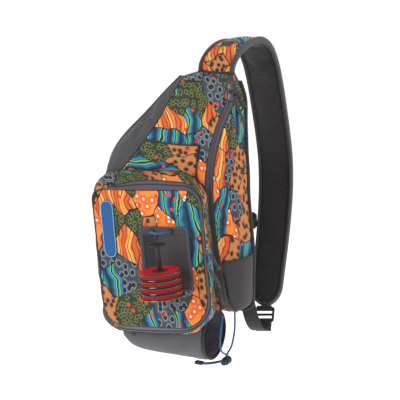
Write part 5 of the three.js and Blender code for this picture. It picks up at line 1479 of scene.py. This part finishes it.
print("the strap is", round(STRAP_LONG), "mm long")

# %% [markdown]
# The pad is what rests on the shoulder. It could be a bent box, but foam under cloth bulges
# between its seams. So it is a closed tube that is filled while the rows beside both seams
# stay pinned. Its outer half is printed cloth and its inner half is mesh.

# %% Strap pad
pad_inset = BOUND - 0.6
pad_end = STRAP_LONG - pad_inset - 0.6
round_start = STRAP_LONG - STRAP_END
pad_runs = steps(0, round_start, 108)
pad_runs += [round_start + (pad_end - round_start) * math.sin(math.pi / 2 * k / 12) for k in range(1, 13)]


def pad_surface(turn, distance):
    angle = 2 * math.pi * turn
    c, s = math.cos(angle), math.sin(angle)
    w = strap_half(distance, pad_inset) * math.copysign(abs(c) ** 0.7, c)
    thick = 4.6 * math.copysign(abs(s) ** 0.55, s) + 1.2 * s * (1 - abs(c))
    return strap_point(distance / STRAP_LONG, w, thick)


def close_ends(tube):
    """Fills the open ends of a tube and turns all of its faces outward."""
    make_active(tube)
    bpy.ops.object.mode_set(mode="EDIT")
    bpy.ops.mesh.select_mode(type="EDGE")
    bpy.ops.mesh.select_all(action="DESELECT")
    bpy.ops.mesh.select_non_manifold()
    bpy.ops.mesh.edge_face_add()
    bpy.ops.mesh.select_all(action="SELECT")
    bpy.ops.mesh.normals_make_consistent(inside=False)
    bpy.ops.object.mode_set(mode="OBJECT")


PAD_SIDES = 36
HALF_ROUND = PAD_SIDES // 2
SEAM_SIDES = (0, 1, HALF_ROUND - 1, HALF_ROUND, HALF_ROUND + 1, PAD_SIDES - 1, PAD_SIDES)
pad = lay_sheet("strap_pad", pad_surface, steps(0, 1, PAD_SIDES), pad_runs, closed=True)
pad_uv = pad.data.uv_layers.active.data
for finish in (PRINT_STRAP, STRAP_MESH):
    pad.data.materials.append(finish)
pinned = set()
for polygon in pad.data.polygons:
    across = sum(pad_uv[loop].uv[0] for loop in polygon.loop_indices) / len(polygon.loop_indices)
    down = sum(pad_uv[loop].uv[1] for loop in polygon.loop_indices) / len(polygon.loop_indices)
    polygon.material_index = 0 if across < 0.5 else 1
    for loop in polygon.loop_indices:
        side = pad_uv[loop].uv[0] * PAD_SIDES
        if min(abs(side - k) for k in SEAM_SIDES) < 0.1 or down < 0.03 or down > 0.94:
            pinned.add(pad.data.loops[loop].vertex_index)
close_ends(pad)
moved = fill_cloth(pad, sorted(pinned), pressure=2.0, let_out=0.012, cap=2.2)
add_smoothing(pad, 1)
apply_modifiers(pad)
bpy.ops.object.shade_smooth()
finish_piece(pad, "printed_cloth", "strap_cover", "strap_mesh")
print("the pad's cloth moved", round(moved * 1000, 1), "mm")

# %% [markdown]
# A folded tape is sewn round the strap's edges and hides where cloth and mesh meet. A curve
# with a round section would look like a rope. A sheet with a boxy section, laid down one
# side, round the end and up the other side, looks like a tape that is folded over the edge.

# %% Strap binding
straight = STRAP_LONG - STRAP_END
edge_path = ([("side", -1, d) for d in steps(0, straight, 100)]
             + [("end", 0, math.pi * k / 32) for k in range(1, 32)]
             + [("side", 1, d) for d in reversed(steps(0, straight, 100))])


def binding_surface(turn, spot):
    kind, side, value = edge_path[int(round(spot))]
    angle = 2 * math.pi * turn
    c, s = math.cos(angle), math.sin(angle)
    inset = BOUND / 2 - math.copysign(abs(c) ** 0.6, c) * BOUND / 2
    n = math.copysign(abs(s) ** 0.6, s) * 5.5 * (1 - 0.08 * max(0, -c))
    if kind == "side":
        return strap_point(value / STRAP_LONG, side * strap_half(value, inset), n)
    widest = strap_half(straight, 0)
    distance = straight + math.sin(value) * (STRAP_END - inset)
    return strap_point(min(1, distance / STRAP_LONG), -math.cos(value) * (widest - inset), n)


binding = lay_sheet("strap_edge_binding", binding_surface, steps(0, 1, 16), list(range(len(edge_path))),
                    closed=True)
close_ends(binding)
binding.data.materials.append(STRAP_BINDING)
finish_piece(binding, "binding_tape", "strap_binding")
print("the binding runs along", len(edge_path), "places")

# %% [markdown]
# The back is a padded panel that rests on the wearer: a mesh face, a firm edge and sewn
# channels that let air through. It starts as a flat grid with the compartment's outline,
# gets its thickness, and the channels are pressed in where the stitching pulls it flat.

# %% Back panel
BACK_LOW, BACK_ROUND, BACK_THICK = 90.0, 14.0, 6.6


def back_edge(t):
    z = BACK_LOW + t * (BODY_TOP - BACK_LOW)
    corners, _ = body_corners(max(0.05, (z - BODY_BOTTOM) / BODY_HEIGHT))
    left, right = corners[4].x, corners[0].x
    if z < BACK_LOW + BACK_ROUND:
        trim = BACK_ROUND - math.sqrt(max(0, BACK_ROUND ** 2 - (BACK_LOW + BACK_ROUND - z) ** 2))
        left, right = left + trim, right - trim
    return left, right, z


def back_surface(s, t):
    left, right, z = back_edge(t)
    edge = min(1.0, 8 * min(s, 1 - s)) * min(1.0, 8 * min(t, 1 - t))
    channel = 0.0
    for line in (0.2, 0.38, 0.56):
        channel = max(channel, math.exp(-((t - line) / 0.012) ** 2))
    channel = max(channel, math.exp(-((s - 0.5) / 0.02) ** 2) * (1 if t < 0.56 else 0))
    return Vector((left + s * (right - left), -0.6 + 3.0 * edge ** 0.5 - 4.0 * channel * edge, z))


back = lay_sheet("back_pad", back_surface, steps(0, 1, 56), steps(0, 1, 84), outward=(0, 1, 0))
back.data.materials.append(BACK_MESH)
thicken(back, BACK_THICK)
finish_piece(back, "air_mesh", "back_panel")
edge_line = ([Vector((back_edge(t)[0], -4.3, back_edge(t)[2])) for t in steps(0, 1, 60)]
             + [Vector((back_edge(t)[1], -4.3, back_edge(t)[2])) for t in reversed(steps(0, 1, 60))])
back_piping = run_tube("back_pad_binding", edge_line, 3.4, DARK_BINDING, closed=True)
finish_piece(back_piping, "binding_tape")
print("the back panel is", round(back_edge(0.2)[1] - back_edge(0.2)[0]), "mm wide")

# %% [markdown]
# A brushed patch is sewn low on the right gusset, and small things cling to it. It could be
# painted on as another finish, but its edge has to stand up and catch the light. So it is a
# sheet of its own, laid two millimetres above the gusset and bound along its top and front.

# %% Hook patch on the right gusset
HOOK_FOOT, HOOK_TOP = 0.012, 0.2414


def hook_patch(u, t):
    v = HOOK_FOOT + t * (HOOK_TOP - HOOK_FOOT)
    p = body_skin(0.02 + 0.955 * u, v)
    return p + skin_normal(body_skin, 0.5, v, Vector((1, -0.4, 0))) * 2.0


pile = lay_sheet("hook_patch_pile", hook_patch, steps(0, 1, 20), steps(0, 1, 24), outward=(1, -0.3, 0))
pile.data.materials.append(BRUSHED)
thicken(pile, THIN_WALL)
finish_piece(pile, "brushed_patch", "hook_patch")
pile_edge = join_pieces("hook_patch_edge", [
    run_tube("hook patch top", [hook_patch(u, 1.0) for u in steps(0, 1, 20)], 1.0, DARK_BINDING),
    run_tube("hook patch side", [hook_patch(1.0, t) for t in steps(0, 1, 20)], 0.9, DARK_BINDING),
])
finish_piece(pile_edge, "binding_tape")
print("hook patch has", len(pile.data.polygons), "faces")

# %% [markdown]
# Small hard parts and webbing already have their true shape in the frame. A copy of each is
# merged, its edges are eased with a narrow bevel, and it takes its finish, so a buckle
# catches the light along its rim as a moulding does.

# %% Buckles, sliders, tabs and webbing
def ease_copy(node, name, finish, slot, ease, smooth_levels=0, angle=35):
    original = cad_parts[node]
    copy = bpy.data.objects.new(name, original.data.copy())
    copy.data.name = name
    scene.collection.objects.link(copy)
    make_active(copy)
    bpy.ops.object.mode_set(mode="EDIT")
    bpy.ops.mesh.select_all(action="SELECT")
    bpy.ops.mesh.remove_doubles(threshold=CLOSE)
    bpy.ops.mesh.dissolve_limited(angle_limit=math.radians(3))
    bpy.ops.object.mode_set(mode="OBJECT")
    if ease:
        bevel = copy.modifiers.new("ease", "BEVEL")
        bevel.width = ease / 1000
        bevel.segments = 2
        bevel.limit_method = "ANGLE"
        bevel.angle_limit = math.radians(40)
    if smooth_levels:
        add_smoothing(copy, smooth_levels)
    apply_modifiers(copy)
    copy.data.materials.clear()
    copy.data.materials.append(finish)
    bpy.ops.object.shade_smooth_by_angle(angle=math.radians(angle))
    return finish_piece(copy, slot, node)


eased = []
for node, finish, slot, ease in (
    ("lower_buckle", BLACK_PLASTIC, "black_plastic", 0.7),
    ("stabilizer_buckle", BLACK_PLASTIC, "black_plastic", 0.7),
    ("lower_tab", WEBBING, "binding_tape", 0.3),
    ("stabilizer_tab", WEBBING, "binding_tape", 0.3),
    ("lower_webbing", WEBBING, "binding_tape", 0.3),
    ("stabilizer_webbing", GREY_CLOTH, "grey_cloth", 0.3),
    ("ring_tab", GREY_CLOTH, "grey_cloth", 0.3),
    ("sleeve_tab", BLACK_PLASTIC, "black_plastic", 0.4),
    ("main_upper_slider", DARK_METAL, "dark_metal", 0.5),
    ("main_lower_slider", DARK_METAL, "dark_metal", 0.5),
    ("pocket_upper_slider", DARK_METAL, "dark_metal", 0.5),
    ("pocket_lower_slider", DARK_METAL, "dark_metal", 0.5),
    ("cord_end", BLACK_PLASTIC, "black_plastic", 1.0),
):
    eased.append(ease_copy(node, node + "_eased", finish, slot, ease))
eased.append(ease_copy("strap_ring", "strap_ring_round", DARK_METAL, "dark_metal", 0, smooth_levels=2,
                       angle=60))
print("eased", len(eased), "small parts")

# %% [markdown]
# A zipper pull is a short cord, doubled through the slider's eye and tied: two strands, a
# fat overhand knot and two cut ends. The frame's plain solid says where it hangs; the pull
# is built between that solid's two ends.

# %% Zipper pulls
def long_ends(node, near):
    points = [v.co.copy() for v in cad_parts[node].data.vertices]
    middle = sum(points, Vector()) / len(points)
    first = max(points, key=lambda p: (p - middle).length)
    way = (first - middle).normalized()
    reach = [(p - middle).dot(way) for p in points]
    ends = [middle + way * min(reach), middle + way * max(reach)]
    low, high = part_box(near)
    return sorted(ends, key=lambda p: (p - (low + high) / 2).length)


PULL_FACING = Vector((0.45, -0.86, 0.2))
KNOT_TURNS = 2.0
for which in ("main_upper", "main_lower", "pocket_upper", "pocket_lower"):
    top, bottom = (p * 1000 + HANGING_POINT for p in long_ends(which + "_pull", which + "_slider"))
    down = bottom - top
    side = down.cross(PULL_FACING).normalized()
    strands_of_pull = []
    for sign in (-1, 1):
        line = []
        for t in steps(0, 0.82, 12):
            apart = 1.5 * math.sin(math.pi * min(1, t / 0.82 + 0.08)) ** 0.5
            line.append(top + down * t + side * sign * apart)
        strands_of_pull.append(run_tube("strand", line, 1.3, GREY_BRAID))
        tail = [top + down * t + side * sign * (0.5 + 6 * (t - 0.86)) for t in steps(0.86, 1.0, 4)]
        strands_of_pull.append(run_tube("tail", tail, 1.2, GREY_BRAID))
    knot = []
    for t in steps(0, 1, 26):
        angle = 2 * math.pi * KNOT_TURNS * t
        across = side.cross(down.normalized())
        knot.append(top + down * (0.79 + 0.11 * t) + side * 2.0 * math.cos(angle)
                    + across * 1.3 * math.sin(angle))
    strands_of_pull.append(run_tube("knot", knot, 1.4, GREY_BRAID))
    pull = join_pieces(which + "_cord_pull", strands_of_pull)
    finish_piece(pull, "grey_pull", which + "_pull")
print("four pulls tied")

# %% [markdown]
# The dock's short cord comes out of one eyelet, runs over the top of the post and goes back
# into the other eyelet. It is held at both ends and drawn tight by the post.

# %% Dock cord
DOCK_CORD = 3.2
row_b = DOCK_MIDDLE[1] + DOCK_H / 2 - 6.5
stack_top = in_stack(POST_TOP).translation * 1000 + HANGING_POINT
eyelets = [face_surface(DOCK_MIDDLE[0] - 2 + side * 16, row_b, 3.9) for side in (-1, 1)]
over = stack_top.z + 0.3 + DOCK_CORD / 2
dock_knots = [eyelets[0], eyelets[0] + Vector((0, -4, 0)), Vector((stack_top.x - 6, stack_top.y + 3, over)),
              Vector((stack_top.x, stack_top.y, over)), Vector((stack_top.x + 4, stack_top.y + 4, over)),
              eyelets[1] + Vector((0, -4, 0)), eyelets[1]]
dock_line = centripetal(dock_knots, 3)
dock_cord, dock_length = lay_cord("dock_cord_braid", [tuple(p) for p in dock_line], DOCK_CORD, BLUE_BRAID)
finish_piece(dock_cord, "blue_cord", "dock_cord")
eyelet_profile = [(2.0, 0), (4.4, 0), (4.7, 0.5), (4.0, 1.1), (2.4, 1.1), (2.0, 0.6)]
for k, eyelet in enumerate(eyelets):
    ring_spot = Matrix.Translation(place(*(eyelet + Vector((0, 0.3, 0)))))
    ring_frame = ring_spot @ Matrix.Rotation(math.pi / 2, 4, "X")
    grommet = turn_part(f"dock_eyelet_{k + 1}", eyelet_profile, ring_frame, BLACK_PLASTIC, 28, True)
    finish_piece(grommet, "black_plastic")

print("the dock cord is", round(dock_length, 3), "m long")

# %% [markdown]
# At the end, the size of the dressed bag is printed,
# so that it can be compared with the size of the solids printed at the start.

# %% Sizes and finish
dressed_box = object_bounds()


def plain(value):
    if isinstance(value, dict):
        return {key: plain(part) for key, part in value.items()}
    if hasattr(value, "__len__") and not isinstance(value, str):
        return [plain(part) for part in value]
    return round(float(value), 5)


{"solids": plain(solid_box), "dressed": plain(dressed_box)}
print("dressed box, metres:", plain(dressed_box))
